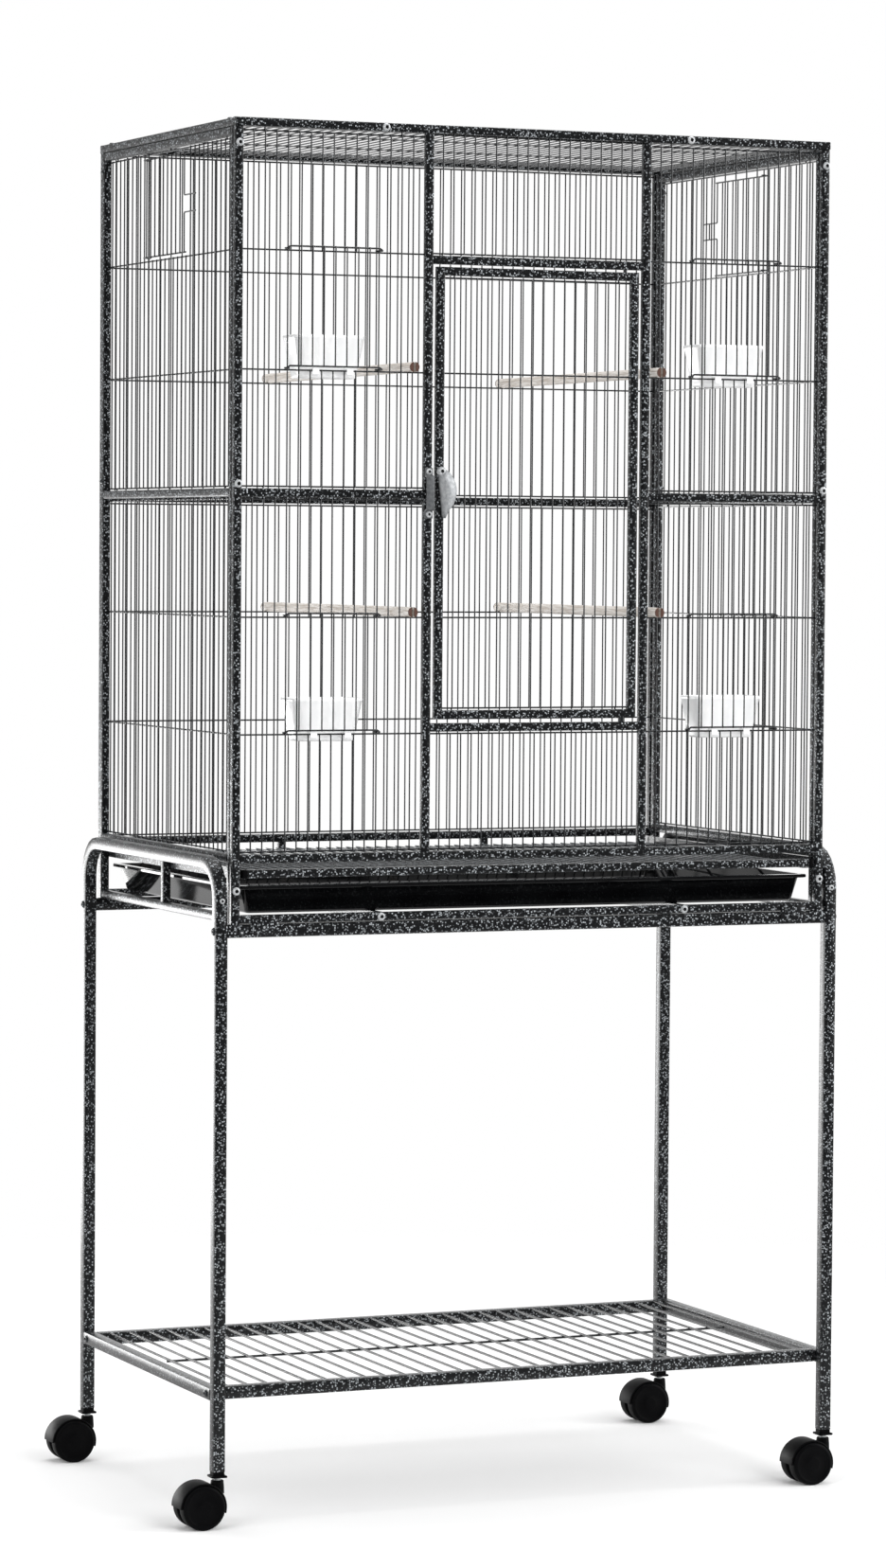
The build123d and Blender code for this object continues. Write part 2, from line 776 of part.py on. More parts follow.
def food_cup(label, side, level):
    """Tapered open cup with two hooks at its front."""
    middle = side * feeder_x
    seat = level + rung / 2
    low = level - cup_drop
    front = rung_back + cup_gap
    centre_y = front + cup_depth / 2
    with BuildPart() as cup:
        with BuildSketch(Plane((middle, centre_y, low))):
            RectangleRounded(cup_width - 2 * cup_taper, cup_depth - 2 * cup_taper, cup_round)
        with BuildSketch(Plane((middle, centre_y, low + cup_high))):
            RectangleRounded(cup_width, cup_depth, cup_round)
        loft()
        with BuildSketch(Plane((middle, centre_y, low + cup_wall))):
            RectangleRounded(
                cup_width - 2 * cup_taper - 2 * cup_wall,
                cup_depth - 2 * cup_taper - 2 * cup_wall,
                cup_round - cup_wall,
            )
        with BuildSketch(Plane((middle, centre_y, low + cup_high))):
            RectangleRounded(cup_width - 2 * cup_wall, cup_depth - 2 * cup_wall, cup_round - cup_wall)
        loft(mode=Mode.SUBTRACT)
        wall_y = front + cup_taper * (1 - cup_drop / cup_high)
        for hand in (-1, 1):
            hook_x = middle + hand * cup_hook_at
            hook_front = mesh_front - finger_gap - cup_hook_sheet / 2
            with BuildSketch(Plane.YZ.offset(hook_x - cup_hook_width / 2)):
                with BuildLine():
                    Polyline(
                        (hook_front, seat - cup_hook_drop),
                        (hook_front, seat + cup_hook_sheet),
                        (wall_y + cup_hook_root, seat + cup_hook_sheet),
                        (wall_y + cup_hook_root, seat),
                        (hook_front + cup_hook_sheet / 2, seat),
                        (hook_front + cup_hook_sheet / 2, seat - cup_hook_drop),
                        close=True,
                    )
                make_face()
            extrude(amount=cup_hook_width)
    cup.part.label = label
    export_step(cup.part, f"parts/{label}.step")
    return cup.part


upper_left_cup = food_cup("upper_left_cup", -1, cross_levels[1])
upper_right_cup = food_cup("upper_right_cup", 1, cross_levels[1])
lower_left_cup = food_cup("lower_left_cup", -1, cross_levels[3])
lower_right_cup = food_cup("lower_right_cup", 1, cross_levels[3])


# Perches: dowels whose slotted ends straddle a wire and sit on the cross wires
def perch(label, side, level):
    """One dowel from the front mesh to the back mesh."""
    seat = level + rung / 2
    centre = seat + perch_radius - perch_seat
    with BuildPart() as dowel:
        with BuildSketch(Plane(origin=(side * perch_x, -perch_end, centre), z_dir=(0, 1, 0))):
            Circle(perch_radius)
        extrude(amount=2 * perch_end)
        slot_deep = perch_end + mesh_front + finger_gap
        for end in (-1, 1):
            with Locations((side * perch_x, end * (perch_end - slot_deep / 2), centre)):
                Box(perch_slot, slot_deep, 4 * perch_radius, mode=Mode.SUBTRACT)
            with Locations((side * perch_x, -end * (mesh_front + rung / 2), seat - perch_radius)):
                Box(4 * perch_radius, rung + 2 * finger_gap, 2 * perch_radius, mode=Mode.SUBTRACT)
    dowel.part.label = label
    export_step(dowel.part, f"parts/{label}.step")
    return dowel.part


upper_left_perch = perch("upper_left_perch", -1, cross_levels[1])
upper_right_perch = perch("upper_right_perch", 1, cross_levels[1])
lower_left_perch = perch("lower_left_perch", -1, cross_levels[2])
lower_right_perch = perch("lower_right_perch", 1, cross_levels[2])


# Nest doors: wire gates high on the sides, hung by rings on one panel wire
def nest_door(label, side, hinge_count, latch_count):
    """One swinging gate outside a side mesh."""
    hinge = side_places[hinge_count - 1]
    latch = side_places[latch_count - 1]
    away = 1 if latch > hinge else -1
    inside = side_places[nest_first:nest_last - 1]
    bars = uprights(inside, nest_low - rung / 2, nest_high + rung / 2)
    bars += uprights([latch], nest_low - rung / 2, nest_jog_low + wire / 2)
    bars += uprights([latch], nest_jog_high - wire / 2, nest_high + rung / 2)
    jog = latch + away * nest_jog
    bars += uprights([jog], nest_jog_low + wire / 2, nest_jog_high - wire / 2)
    tails = []
    tail_start = latch + away * wire / 2
    tail_end = latch + away * nest_tail
    for level in (nest_jog_low, nest_jog_high):
        left, right = sorted((tail_start, tail_end))
        tails.append((left, level - wire / 2, right, level + wire / 2))
    left, right = sorted((hinge + -away * rung / 2, latch + away * wire / 2))
    crosses = cross_wires([nest_low, nest_high], left, right)
    wire_low = nest_out - wire / 2
    wire_face = wire_low if side > 0 else -wire_low - wire
    rung_face = wire_low - rung if side > 0 else -wire_low
    pieces = [
        rods(Plane.YZ.offset(wire_face), bars, wire),
        rods(Plane.YZ.offset(wire_face), tails, wire),
        rods(Plane.YZ.offset(rung_face), crosses, rung),
    ]
    hinge_x = side * (mesh_side + wire / 2)
    arm_end = side * (wire_low - rung)
    for level in (nest_low, nest_high):
        with BuildPart() as ring:
            with BuildSketch(Plane((0, 0, level - rung / 2))):
                with Locations((hinge_x, hinge)):
                    Circle(ring_outer)
                low_x, high_x = sorted((hinge_x, arm_end))
                with Locations(((low_x + high_x) / 2, hinge)):
                    Rectangle(high_x - low_x, rung)
                with Locations((hinge_x, hinge)):
                    Circle(ring_bore, mode=Mode.SUBTRACT)
            extrude(amount=rung)
        pieces.append(ring.part)
    return gather(label, *pieces)


left_nest_door = nest_door("left_nest_door", -1, nest_last, nest_first)
right_nest_door = nest_door("right_nest_door", 1, nest_first, nest_last)

# Runners: two bars under the tray and an angle each side under the grate
runner_runs = []
for x in (-runner_x, runner_x):
    runner_runs.append(cage_run((x, inner_front, base_rail), (x, inner_back, base_rail)))
for side in (-1, 1):
    outer = side * inner_x
    shelf_x = sorted((outer, outer - side * angle_reach))
    runner_runs.append(
        block((shelf_x[0], inner_front, grate_rest - angle_sheet), (shelf_x[1], inner_back, grate_rest))
    )
    wall_x = sorted((outer, outer - side * angle_sheet))
    runner_runs.append(
        block((wall_x[0], inner_front, grate_rest), (wall_x[1], inner_back, grate_rest + angle_high))
    )
tray_runners = gather("tray_runners", *runner_runs)

# Pull-out tray with sloped walls and a turned rim
tray_mid = (tray_front + tray_back) / 2
tray_long = tray_back - tray_front
tray_wide = 2 * tray_half_width
mouth_wide = tray_wide - 2 * tray_rim
mouth_long = tray_long - 2 * tray_rim
with BuildPart() as tray:
    with BuildSketch(Plane((0, tray_mid, tray_low))):
        RectangleRounded(mouth_wide - 2 * tray_taper, mouth_long - 2 * tray_taper, tray_round)
    with BuildSketch(Plane((0, tray_mid, tray_high))):
        RectangleRounded(mouth_wide, mouth_long, tray_round)
    loft()
    with BuildSketch(Plane((0, tray_mid, tray_high - tray_sheet))):
        RectangleRounded(tray_wide, tray_long, tray_round)
    extrude(amount=tray_sheet)
    with BuildSketch(Plane((0, tray_mid, tray_high - 2 * tray_sheet))):
        RectangleRounded(tray_wide, tray_long, tray_round)
        RectangleRounded(tray_wide - 2 * tray_sheet, tray_long - 2 * tray_sheet, tray_round, mode=Mode.SUBTRACT)
    extrude(amount=tray_sheet)
    with BuildSketch(Plane((0, tray_mid, tray_low + tray_sheet))):
        RectangleRounded(
            mouth_wide - 2 * tray_taper - 2 * tray_sheet,
            mouth_long - 2 * tray_taper - 2 * tray_sheet,
            tray_round - tray_sheet,
        )
    with BuildSketch(Plane((0, tray_mid, tray_high))):
        RectangleRounded(mouth_wide - 2 * tray_sheet, mouth_long - 2 * tray_sheet, tray_round - tray_sheet)
    loft(mode=Mode.SUBTRACT)
tray.part.label = "tray"
export_step(tray.part, "parts/tray.step")

# Pull-out grate: front rail, side and back rods, cross rods and wires
grate_low = grate_rest + seat_gap
grate_inner = grate_half_width - grate_rod
grate_rods = [
    cage_run((-grate_half_width, front_y, grate_level), (grate_half_width, front_y, grate_level)),
]
for side in (-1, 1):
    rod_x = sorted((side * grate_half_width, side * grate_inner))
    grate_rods.append(
        block((rod_x[0], inner_front, grate_low), (rod_x[1], grate_back, grate_low + grate_rod))
    )
for y in (grate_back - grate_rod, *grate_cross_y):
    grate_rods.append(block((-grate_inner, y, grate_low), (grate_inner, y + grate_rod, grate_low + grate_rod)))
grate_frame = gather("grate_frame", *grate_rods)
grate_top = grate_low + grate_rod
grate_places = evenly(-grate_inner, grate_inner, grate_gaps)
grate_bars = uprights(grate_places, inner_front, grate_back)
grate_mesh = gather("grate_mesh", rods(Plane.XY.offset(grate_top), grate_bars, wire))

# Caster sockets: plugs in the leg ends with a collar, a flange and a bore for the stem
socket_plugs = []
for side in (-1, 1):
    for end in (-1, 1):
        spot = (side * leg_x, end * leg_y)
        with BuildPart() as socket:
            with BuildSketch(Plane((spot[0], spot[1], socket_low))):
                Rectangle(socket_flange, socket_flange)
                Circle(stem_radius + pin_clearance, mode=Mode.SUBTRACT)
            extrude(amount=socket_thick)
            with BuildSketch(Plane((spot[0], spot[1], socket_low + socket_thick))):
                Rectangle(socket_collar, socket_collar)
                Circle(stem_radius + pin_clearance, mode=Mode.SUBTRACT)
            extrude(amount=leg_low - socket_low - socket_thick)
            with BuildSketch(Plane((spot[0], spot[1], leg_low))):
                Rectangle(socket_plug, socket_plug)
                Circle(stem_radius + pin_clearance, mode=Mode.SUBTRACT)
            extrude(amount=socket_deep)
        socket_plugs.append(socket.part)
caster_sockets = gather("caster_sockets", *socket_plugs)


# Casters: hood with web and boss, steel stem and axle, two wheels
def caster_hood(label, x, y):
    """Hood, stem and axle of one caster."""
    hub_x = x - trail
    hub_plane = Plane(origin=(hub_x, y, wheel_radius), x_dir=(1, 0, 0), z_dir=(0, -1, 0))
    with BuildPart() as hood:
        with BuildSketch(hub_plane):
            Circle(hood_radius)
            with Locations((0, -hood_radius - hood_skirt)):
                Rectangle(4 * hood_radius, 2 * hood_radius, mode=Mode.SUBTRACT)
            with Locations((-hood_radius, -hood_radius)):
                Rectangle(2 * hood_radius, 2 * hood_radius, mode=Mode.SUBTRACT)
        extrude(amount=hood_half_width, both=True)
        with BuildSketch(Plane((x, y, wheel_radius))):
            Circle(hood_boss)
        extrude(amount=hood_top - wheel_radius)
        for hand in (-1, 1):
            with BuildSketch(hub_plane.offset(hand * web_half)):
                Circle(hood_bore)
            extrude(amount=hand * 2 * hood_half_width, mode=Mode.SUBTRACT)
        with BuildSketch(hub_plane):
            Circle(axle_boss)
        extrude(amount=web_half, both=True)
        with BuildSketch(hub_plane):
            Circle(axle_radius)
        extrude(amount=axle_half, both=True, mode=Mode.SUBTRACT)
    with BuildPart() as axle:
        with BuildSketch(hub_plane):
            Circle(axle_radius)
        extrude(amount=axle_half, both=True)
    with BuildPart() as stem:
        with BuildSketch(Plane((x, y, hood_top))):
            Circle(stem_radius)
        extrude(amount=stem_high - hood_top)
    return gather(label, hood.part, axle.part, stem.part)


def caster_wheel(label, x, y, hand):
    """One wheel of a twin pair, with a dished outer face."""
    hub_x = x - trail
    face = Plane(origin=(hub_x, y, wheel_radius), x_dir=(1, 0, 0), z_dir=(0, hand, 0))
    with BuildPart() as wheel:
        with BuildSketch(face.offset(wheel_inner)):
            Circle(wheel_radius)
        extrude(amount=wheel_outer - wheel_inner - wheel_edge)
        with BuildSketch(face.offset(wheel_outer - wheel_edge)):
            Circle(wheel_radius)
        extrude(amount=wheel_edge, taper=45)
        with BuildSketch(face.offset(wheel_outer)):
            Circle(wheel_radius - 3 * wheel_edge)
        extrude(amount=-wheel_dish, mode=Mode.SUBTRACT)
        with BuildSketch(face.offset(wheel_inner)):
            Circle(axle_radius + pin_clearance)
        extrude(amount=axle_half + axle_end_gap - wheel_inner, mode=Mode.SUBTRACT)
    wheel.part.label = label
    export_step(wheel.part, f"parts/{label}.step")
    return wheel.part


for end_name, end in (("front", -1), ("back", 1)):
    for side_name, side in (("left", -1), ("right", 1)):
        corner = f"{end_name}_{side_name}"
        caster_hood(f"{corner}_caster", side * leg_x, end * leg_y)
        caster_wheel(f"{corner}_near_wheel", side * leg_x, end * leg_y, -1)
        caster_wheel(f"{corner}_far_wheel", side * leg_x, end * leg_y, 1)

# Bolts that hold the cage frames together
joint_bolts = []
for side in (-1, 1):
    for level in bolt_levels:
        joint_bolts.append(bolt((side * post_x, -cage_half_depth, level), (0, -1, 0), panel_bolt_reach))
    for level in side_bolt_levels:
        joint_bolts.append(bolt((side * back_post_x, cage_half_depth, level), (0, 1, 0), panel_bolt_reach))
panel_bolts = gather("panel_bolts", *joint_bolts)

# Bolts that hold the leg frames to the cross bars and the shelf to the ties
stand_bolts = []
for side in (-1, 1):
    face_x = side * (leg_x + half_bar)
    for y in (-leg_y, leg_y):
        stand_bolts.append(bolt((face_x, y, cross_bar_level), (side, 0, 0), stand_bolt_reach))
    for y in (-shelf_rail_y, shelf_rail_y):
        stand_bolts.append(bolt((face_x, y, tie_level), (side, 0, 0), stand_bolt_reach))
leg_bolts = gather("leg_bolts", *stand_bolts)
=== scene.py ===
"""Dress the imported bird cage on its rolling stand.

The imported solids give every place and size. This script lays round wires and rounded square tubes over
them, builds the tray, casters, cups and latch, and gives each surface its finish.
Sizes are in millimetres until a mesh is made.
"""

import json
import logging
import math
from dataclasses import dataclass
from enum import Enum
from typing import Any, Callable, Iterable, Sequence

import bmesh
import bpy
from mathutils import Matrix, Vector


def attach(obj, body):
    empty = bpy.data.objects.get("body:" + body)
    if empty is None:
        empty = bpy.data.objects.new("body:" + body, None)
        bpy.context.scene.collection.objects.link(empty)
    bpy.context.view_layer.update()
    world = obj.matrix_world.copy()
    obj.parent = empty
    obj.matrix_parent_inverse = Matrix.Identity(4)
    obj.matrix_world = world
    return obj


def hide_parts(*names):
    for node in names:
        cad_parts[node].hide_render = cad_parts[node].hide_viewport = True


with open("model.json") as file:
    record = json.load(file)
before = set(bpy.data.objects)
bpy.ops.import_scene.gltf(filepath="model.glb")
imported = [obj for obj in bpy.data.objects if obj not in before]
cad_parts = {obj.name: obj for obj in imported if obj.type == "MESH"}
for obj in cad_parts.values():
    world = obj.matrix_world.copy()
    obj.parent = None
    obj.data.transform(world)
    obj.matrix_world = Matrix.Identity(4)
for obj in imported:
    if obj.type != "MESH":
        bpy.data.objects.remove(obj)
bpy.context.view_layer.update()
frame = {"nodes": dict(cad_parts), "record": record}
log = logging.getLogger("bird_cage")

Flat = tuple[float, float]
Point = tuple[float, float, float]
Path = list[Point]
Spot = tuple[Point, Point]
Place = Callable[[float, float, float], Point]
Colour = tuple[float, float, float, float]
Inputs = dict[str | int, Any]
Object = bpy.types.Object
Tree = bpy.types.NodeTree
Socket = bpy.types.NodeSocket

MM = 0.001
SHARP_ANGLE = 38.0
DOUBLES = 0.00001
SIDES = (-1, 1)
HANDS = (("left", -1), ("right", 1))
AHEAD: Point = (0.0, -1.0, 0.0)
BEHIND: Point = (0.0, 1.0, 0.0)
OUTWARD: Point = (1.0, 0.0, 0.0)
UPWARD: Point = (0.0, 0.0, 1.0)

# Sockets of the Mix node, which have the same names for numbers and for colours.
MIX_SHARE = 0
NUMBER_A = 2
NUMBER_B = 3
COLOUR_A = 6
COLOUR_B = 7
MIXED_NUMBER = 0
MIXED_COLOUR = 2


class Body(Enum):
    """Bodies of cage, main door and pull-outs; every other body has the name of its node."""

    CAGE = "cage"
    MAIN_DOOR = "main_door"
    LATCH = "latch"
    TRAY = "tray"
    GRATE = "grate"


class Slot(Enum):
    """Material slots of the record."""

    TUBE = "hammertone_tube"
    WIRE = "coated_wire"
    CUP = "cup_plastic"
    PERCH = "perch_wood"
    TRAY = "tray_plastic"
    CASTER = "caster_plastic"
    ZINC = "zinc"


class Section(Enum):
    """Section that a sweep carries along its path."""

    ROUND = "round"
    SQUARE = "square"


class FastenerPart(Enum):
    """Piece of a fastener that is set out."""

    HEAD = "head"
    SOCKET = "socket"


class Face(Enum):
    """Side of the cage box that a panel lies in."""

    FRONT = "front"
    BACK = "back"
    LEFT = "left"
    RIGHT = "right"
    TOP = "top"


def linear(code: str) -> Colour:
    """Turn an sRGB hex colour into a linear one.

    Args:
        code: Colour written as #rrggbb.

    Returns:
        Linear red, green, blue and full alpha.
    """
    channels = [int(code[at : at + 2], 16) / 255 for at in (1, 3, 5)]
    straight = [c / 12.92 if c <= 0.04045 else ((c + 0.055) / 1.055) ** 2.4 for c in channels]
    return (straight[0], straight[1], straight[2], 1.0)


def add_node(tree: Tree, kind: str, inputs: Inputs | None = None, **settings: Any) -> bpy.types.Node:
    """Add one node with its settings, values and links.

    Args:
        tree: Node tree that gets the node.
        kind: Node type name.
        inputs: Socket name or index to a value, or to an output socket to link from.
        **settings: Node properties.

    Returns:
        The new node.
    """
    node = tree.nodes.new(kind)
    for key, value in settings.items():
        setattr(node, key, value)
    for key, value in (inputs or {}).items():
        socket = node.inputs[key]
        if isinstance(value, Socket):
            tree.links.new(value, socket)
        else:
            socket.default_value = value
    return node


class Finish:
    """Base of every finish: makes its material once and keeps it."""

    title: str
    slot: Slot

    def material(self) -> bpy.types.Material:
        """Make the material on first use.

        Returns:
            The material of this finish.
        """
        found = bpy.data.materials.get(self.title)
        if found is not None:
            return found
        made = bpy.data.materials.new(self.title)
        made.use_nodes = True
        tree = made.node_tree
        tree.nodes.clear()
        coords = add_node(tree, "ShaderNodeTexCoord").outputs["Object"]
        shader = add_node(tree, "ShaderNodeBsdfPrincipled", self.look(tree, coords))
        add_node(tree, "ShaderNodeOutputMaterial", {"Surface": shader.outputs["BSDF"]})
        return made

    def look(self, tree: Tree, coords: Socket) -> Inputs:
        """Add the nodes of this finish and return the inputs of its shader."""
        raise NotImplementedError


@dataclass(frozen=True)
class HammertoneCoat(Finish):
    """Baked hammertone powder coat on steel tube: near-black pools broken by small silver flecks.

    The eye sees salt-and-pepper flecks on black, and a grey sheen where light grazes the tube.
    Real flecks are 1 to 2 mm across; they are drawn at the coarse end of that so that they show.
    """

    title: str = "Hammertone powder coat"
    slot: Slot = Slot.TUBE
    pool: str = "#050506"
    pool_grey: str = "#101214"
    silver: str = "#b4b9bd"
    fleck_mm: float = 2.0
    pool_mm: float = 4.0
    pool_detail: float = 2.0
    picked: Flat = (0.55, 0.85)
    fleck_edge: Flat = (0.25, 0.58)
    rough: Flat = (0.32, 0.44)
    metal: float = 0.4
    gloss: float = 0.25
    dimple: float = 0.2
    dimple_mm: float = 0.3

    def look(self, tree: Tree, coords: Socket) -> Inputs:
        """Add flecks, pools and the dimpled bump.

        Args:
            tree: The material's node tree.
            coords: Object coordinates in metres.

        Returns:
            Inputs of the principled shader.
        """
        spacing = {"Vector": coords, "Scale": 1.0 / (self.fleck_mm * MM)}
        cells = add_node(tree, "ShaderNodeTexVoronoi", spacing, feature="F1").outputs
        chance = add_node(tree, "ShaderNodeSeparateColor", {"Color": cells["Color"]}).outputs["Red"]
        low, high = self.picked
        some = {"Value": chance, "From Min": low, "From Max": high}
        picked = add_node(tree, "ShaderNodeMapRange", some).outputs["Result"]
        low, high = self.fleck_edge
        near = {"Value": cells["Distance"], "From Min": low, "From Max": high, "To Min": 1.0, "To Max": 0.0}
        blob = add_node(tree, "ShaderNodeMapRange", near).outputs["Result"]
        fleck = add_node(tree, "ShaderNodeMath", {0: picked, 1: blob}, operation="MULTIPLY").outputs[0]
        broad = {"Vector": coords, "Scale": 1.0 / (self.pool_mm * MM), "Detail": self.pool_detail}
        patch = add_node(tree, "ShaderNodeTexNoise", broad).outputs["Fac"]
        pools = {MIX_SHARE: patch, COLOUR_A: linear(self.pool), COLOUR_B: linear(self.pool_grey)}
        dark = add_node(tree, "ShaderNodeMix", pools, data_type="RGBA").outputs[MIXED_COLOUR]
        tones = {MIX_SHARE: fleck, COLOUR_A: dark, COLOUR_B: linear(self.silver)}
        low, high = self.rough
        rough = add_node(tree, "ShaderNodeMapRange", {"Value": fleck, "To Min": low, "To Max": high})
        metal = add_node(tree, "ShaderNodeMath", {0: fleck, 1: self.metal}, operation="MULTIPLY")
        dimple = {"Height": cells["Distance"], "Strength": self.dimple, "Distance": self.dimple_mm * MM}
        return {
            "Base Color": add_node(tree, "ShaderNodeMix", tones, data_type="RGBA").outputs[MIXED_COLOUR],
            "Roughness": rough.outputs["Result"],
            "Metallic": metal.outputs[0],
            "Specular IOR Level": self.gloss,
            "Normal": add_node(tree, "ShaderNodeBump", dimple).outputs["Normal"],
        }


@dataclass(frozen=True)
class MottledFinish(Finish):
    """Base of finishes that drift between two tones and have a finer grain in their bump.

    drift holds the noise values at which the deep and the pale tone are reached.
    """

    title: str = "Mottled finish"
    slot: Slot = Slot.ZINC
    deep: str = "#202020"
    pale: str = "#303030"
    rough: Flat = (0.3, 0.4)
    drift: Flat = (0.3, 0.7)
    drift_mm: float = 4.0
    drift_detail: float = 3.0
    grain_mm: float = 1.0
    grain_detail: float = 2.0
    grain: float = 0.1
    grain_deep_mm: float = 0.3
    grain_in_gloss: bool = False
    gloss: float = 0.5
    metallic: float = 0.0

    def look(self, tree: Tree, coords: Socket) -> Inputs:
        """Add the drift of tone, the uneven gloss and the grain.

        Args:
            tree: The material's node tree.
            coords: Object coordinates in metres.

        Returns:
            Inputs of the principled shader.
        """
        broad = {"Vector": coords, "Scale": 1.0 / (self.drift_mm * MM), "Detail": self.drift_detail}
        drift = add_node(tree, "ShaderNodeTexNoise", broad).outputs["Fac"]
        low, high = self.drift
        reached = {"Value": drift, "From Min": low, "From Max": high}
        share = add_node(tree, "ShaderNodeMapRange", reached).outputs["Result"]
        tones = {MIX_SHARE: share, COLOUR_A: linear(self.deep), COLOUR_B: linear(self.pale)}
        fine = {"Vector": coords, "Scale": 1.0 / (self.grain_mm * MM), "Detail": self.grain_detail}
        grain = add_node(tree, "ShaderNodeTexNoise", fine).outputs["Fac"]
        uneven = grain if self.grain_in_gloss else drift
        low, high = self.rough
        rough = add_node(tree, "ShaderNodeMapRange", {"Value": uneven, "To Min": low, "To Max": high})
        bump = {"Height": grain, "Strength": self.grain, "Distance": self.grain_deep_mm * MM}
        return {
            "Base Color": add_node(tree, "ShaderNodeMix", tones, data_type="RGBA").outputs[MIXED_COLOUR],
            "Roughness": rough.outputs["Result"],
            "Metallic": self.metallic,
            "Specular IOR Level": self.gloss,
            "Normal": add_node(tree, "ShaderNodeBump", bump).outputs["Normal"],
        }


@dataclass(frozen=True)
class WireCoat(MottledFinish):
    """Powder coat on drawn steel wire: black, semi-gloss, a little paler where it lies thin.

    The thin spots follow the coat's flow, about 6 mm long. Its orange peel, about 2 mm, is the bump.
    """

    title: str = "Powder coated wire"
    slot: Slot = Slot.WIRE
    deep: str = "#0c0d0f"
    pale: str = "#222528"
    rough: Flat = (0.14, 0.34)
    drift: Flat = (0.35, 0.75)
    drift_mm: float = 6.0
    grain_mm: float = 2.0
    grain_detail: float = 1.0
    grain: float = 0.12


@dataclass(frozen=True)
class MouldedPlastic(MottledFinish):
    """Injection moulded plastic: even colour, faint flow marks and a fine grain from the mould."""

    title: str = "Moulded plastic"
    slot: Slot = Slot.CASTER
    drift: Flat = (0.3, 0.75)
    drift_mm: float = 30.0
    drift_detail: float = 4.0
    grain_mm: float = 1.6
    grain: float = 0.08


@dataclass(frozen=True)
class ZincPlate(MottledFinish):
    """Zinc plate on steel: pale grey metal, slightly clouded, with fine tumbling scratches.

    The plate is dulled by its passivation, so it shows its own pale grey as much as what it mirrors.
    """

    title: str = "Zinc plated steel"
    deep: str = "#9b9ea0"
    pale: str = "#d6d8da"
    rough: Flat = (0.26, 0.48)
    grain_mm: float = 0.9
    grain_deep_mm: float = 0.2
    grain_in_gloss: bool = True
    metallic: float = 0.45


@dataclass(frozen=True)
class DowelWood(Finish):
    """Sanded hardwood dowel: pale, with long grain along its length and darker cut ends."""

    title: str = "Sanded dowel"
    slot: Slot = Slot.PERCH
    early: str = "#e9e5e0"
    late: str = "#b9aea3"
    cut_end: str = "#4a3026"
    grain_mm: float = 1.4
    grain_detail: float = 4.0
    rings: Flat = (0.35, 0.65)
    stretch: float = 0.05
    end_mm: float = 238.6
    rough: Flat = (0.52, 0.72)
    grain: float = 0.15
    grain_deep_mm: float = 0.3

    def look(self, tree: Tree, coords: Socket) -> Inputs:
        """Add long grain and the dark cut ends.

        Args:
            tree: The material's node tree.
            coords: Object coordinates in metres.

        Returns:
            Inputs of the principled shader.
        """
        along = add_node(tree, "ShaderNodeMapping", {"Vector": coords, "Scale": (1.0, self.stretch, 1.0)})
        long = {"Vector": along.outputs["Vector"], "Scale": 1.0 / (self.grain_mm * MM)}
        grain = add_node(tree, "ShaderNodeTexNoise", {**long, "Detail": self.grain_detail}).outputs["Fac"]
        low, high = self.rings
        reached = {"Value": grain, "From Min": low, "From Max": high}
        share = add_node(tree, "ShaderNodeMapRange", reached).outputs["Result"]
        woods = {MIX_SHARE: share, COLOUR_A: linear(self.late), COLOUR_B: linear(self.early)}
        wood = add_node(tree, "ShaderNodeMix", woods, data_type="RGBA").outputs[MIXED_COLOUR]
        place = add_node(tree, "ShaderNodeSeparateXYZ", {"Vector": coords}).outputs["Y"]
        reach = add_node(tree, "ShaderNodeMath", {0: place}, operation="ABSOLUTE").outputs[0]
        limit = {0: reach, 1: self.end_mm * MM}
        cut = add_node(tree, "ShaderNodeMath", limit, operation="GREATER_THAN").outputs[0]
        tones = {MIX_SHARE: cut, COLOUR_A: wood, COLOUR_B: linear(self.cut_end)}
        low, high = self.rough
        rough = add_node(tree, "ShaderNodeMapRange", {"Value": grain, "To Min": low, "To Max": high})
        bump = {"Height": grain, "Strength": self.grain, "Distance": self.grain_deep_mm * MM}
        return {
            "Base Color": add_node(tree, "ShaderNodeMix", tones, data_type="RGBA").outputs[MIXED_COLOUR],
            "Roughness": rough.outputs["Result"],
            "Normal": add_node(tree, "ShaderNodeBump", bump).outputs["Normal"],
        }


HAMMERTONE = HammertoneCoat()
COATED_WIRE = WireCoat()
# Grate wire has the same black coat, drawn far paler: painted reflection of the bright surround that the
# low, grazing wires mirror, on top of the coat's thin spots.
GRATE_WIRE = WireCoat(title="Rubbed grate wire", deep="#2c2f32", pale="#767b7f", rough=(0.2, 0.4))
TRAY_PLASTIC = MouldedPlastic(
    title="Gloss black polystyrene",
    slot=Slot.TRAY,
    deep="#040405",
    pale="#0b0c0d",
    rough=(0.048, 0.075),
    drift_mm=60.0,
    grain=0.008,
    gloss=0.28,
)
CASTER_PLASTIC = MouldedPlastic(
    title="Moulded black nylon",
    deep="#030304",
    pale="#080809",
    rough=(0.4, 0.625),
    gloss=0.05,
)
CUP_PLASTIC = MouldedPlastic(
    title="White polystyrene",
    slot=Slot.CUP,
    deep="#f3f4f5",
    pale="#fcfcfc",
    rough=(0.2, 0.3125),
    drift_mm=18.0,
    grain=0.04,
)
ZINC = ZincPlate()
STRAP_STEEL = ZincPlate(title="Dull zinc strap steel", deep="#505254", pale="#6d6f71", rough=(0.3, 0.52))
LEVER_ZINC = ZincPlate(title="Cast zinc lever", deep="#7d7f81", pale="#a2a4a6", rough=(0.28, 0.5))
BLACK_ZINC = ZincPlate(title="Black zinc plate", deep="#141617", pale="#3a3e41", rough=(0.2, 0.42))
# Near-black finish for the six-sided socket pieces: painted shade that stands for the shadow deep in each
# socket, not a dark steel.
SOCKET_SHADE = ZincPlate(title="Oiled socket steel", deep="#08090a", pale="#17181a", rough=(0.4, 0.62))
WOOD = DowelWood()


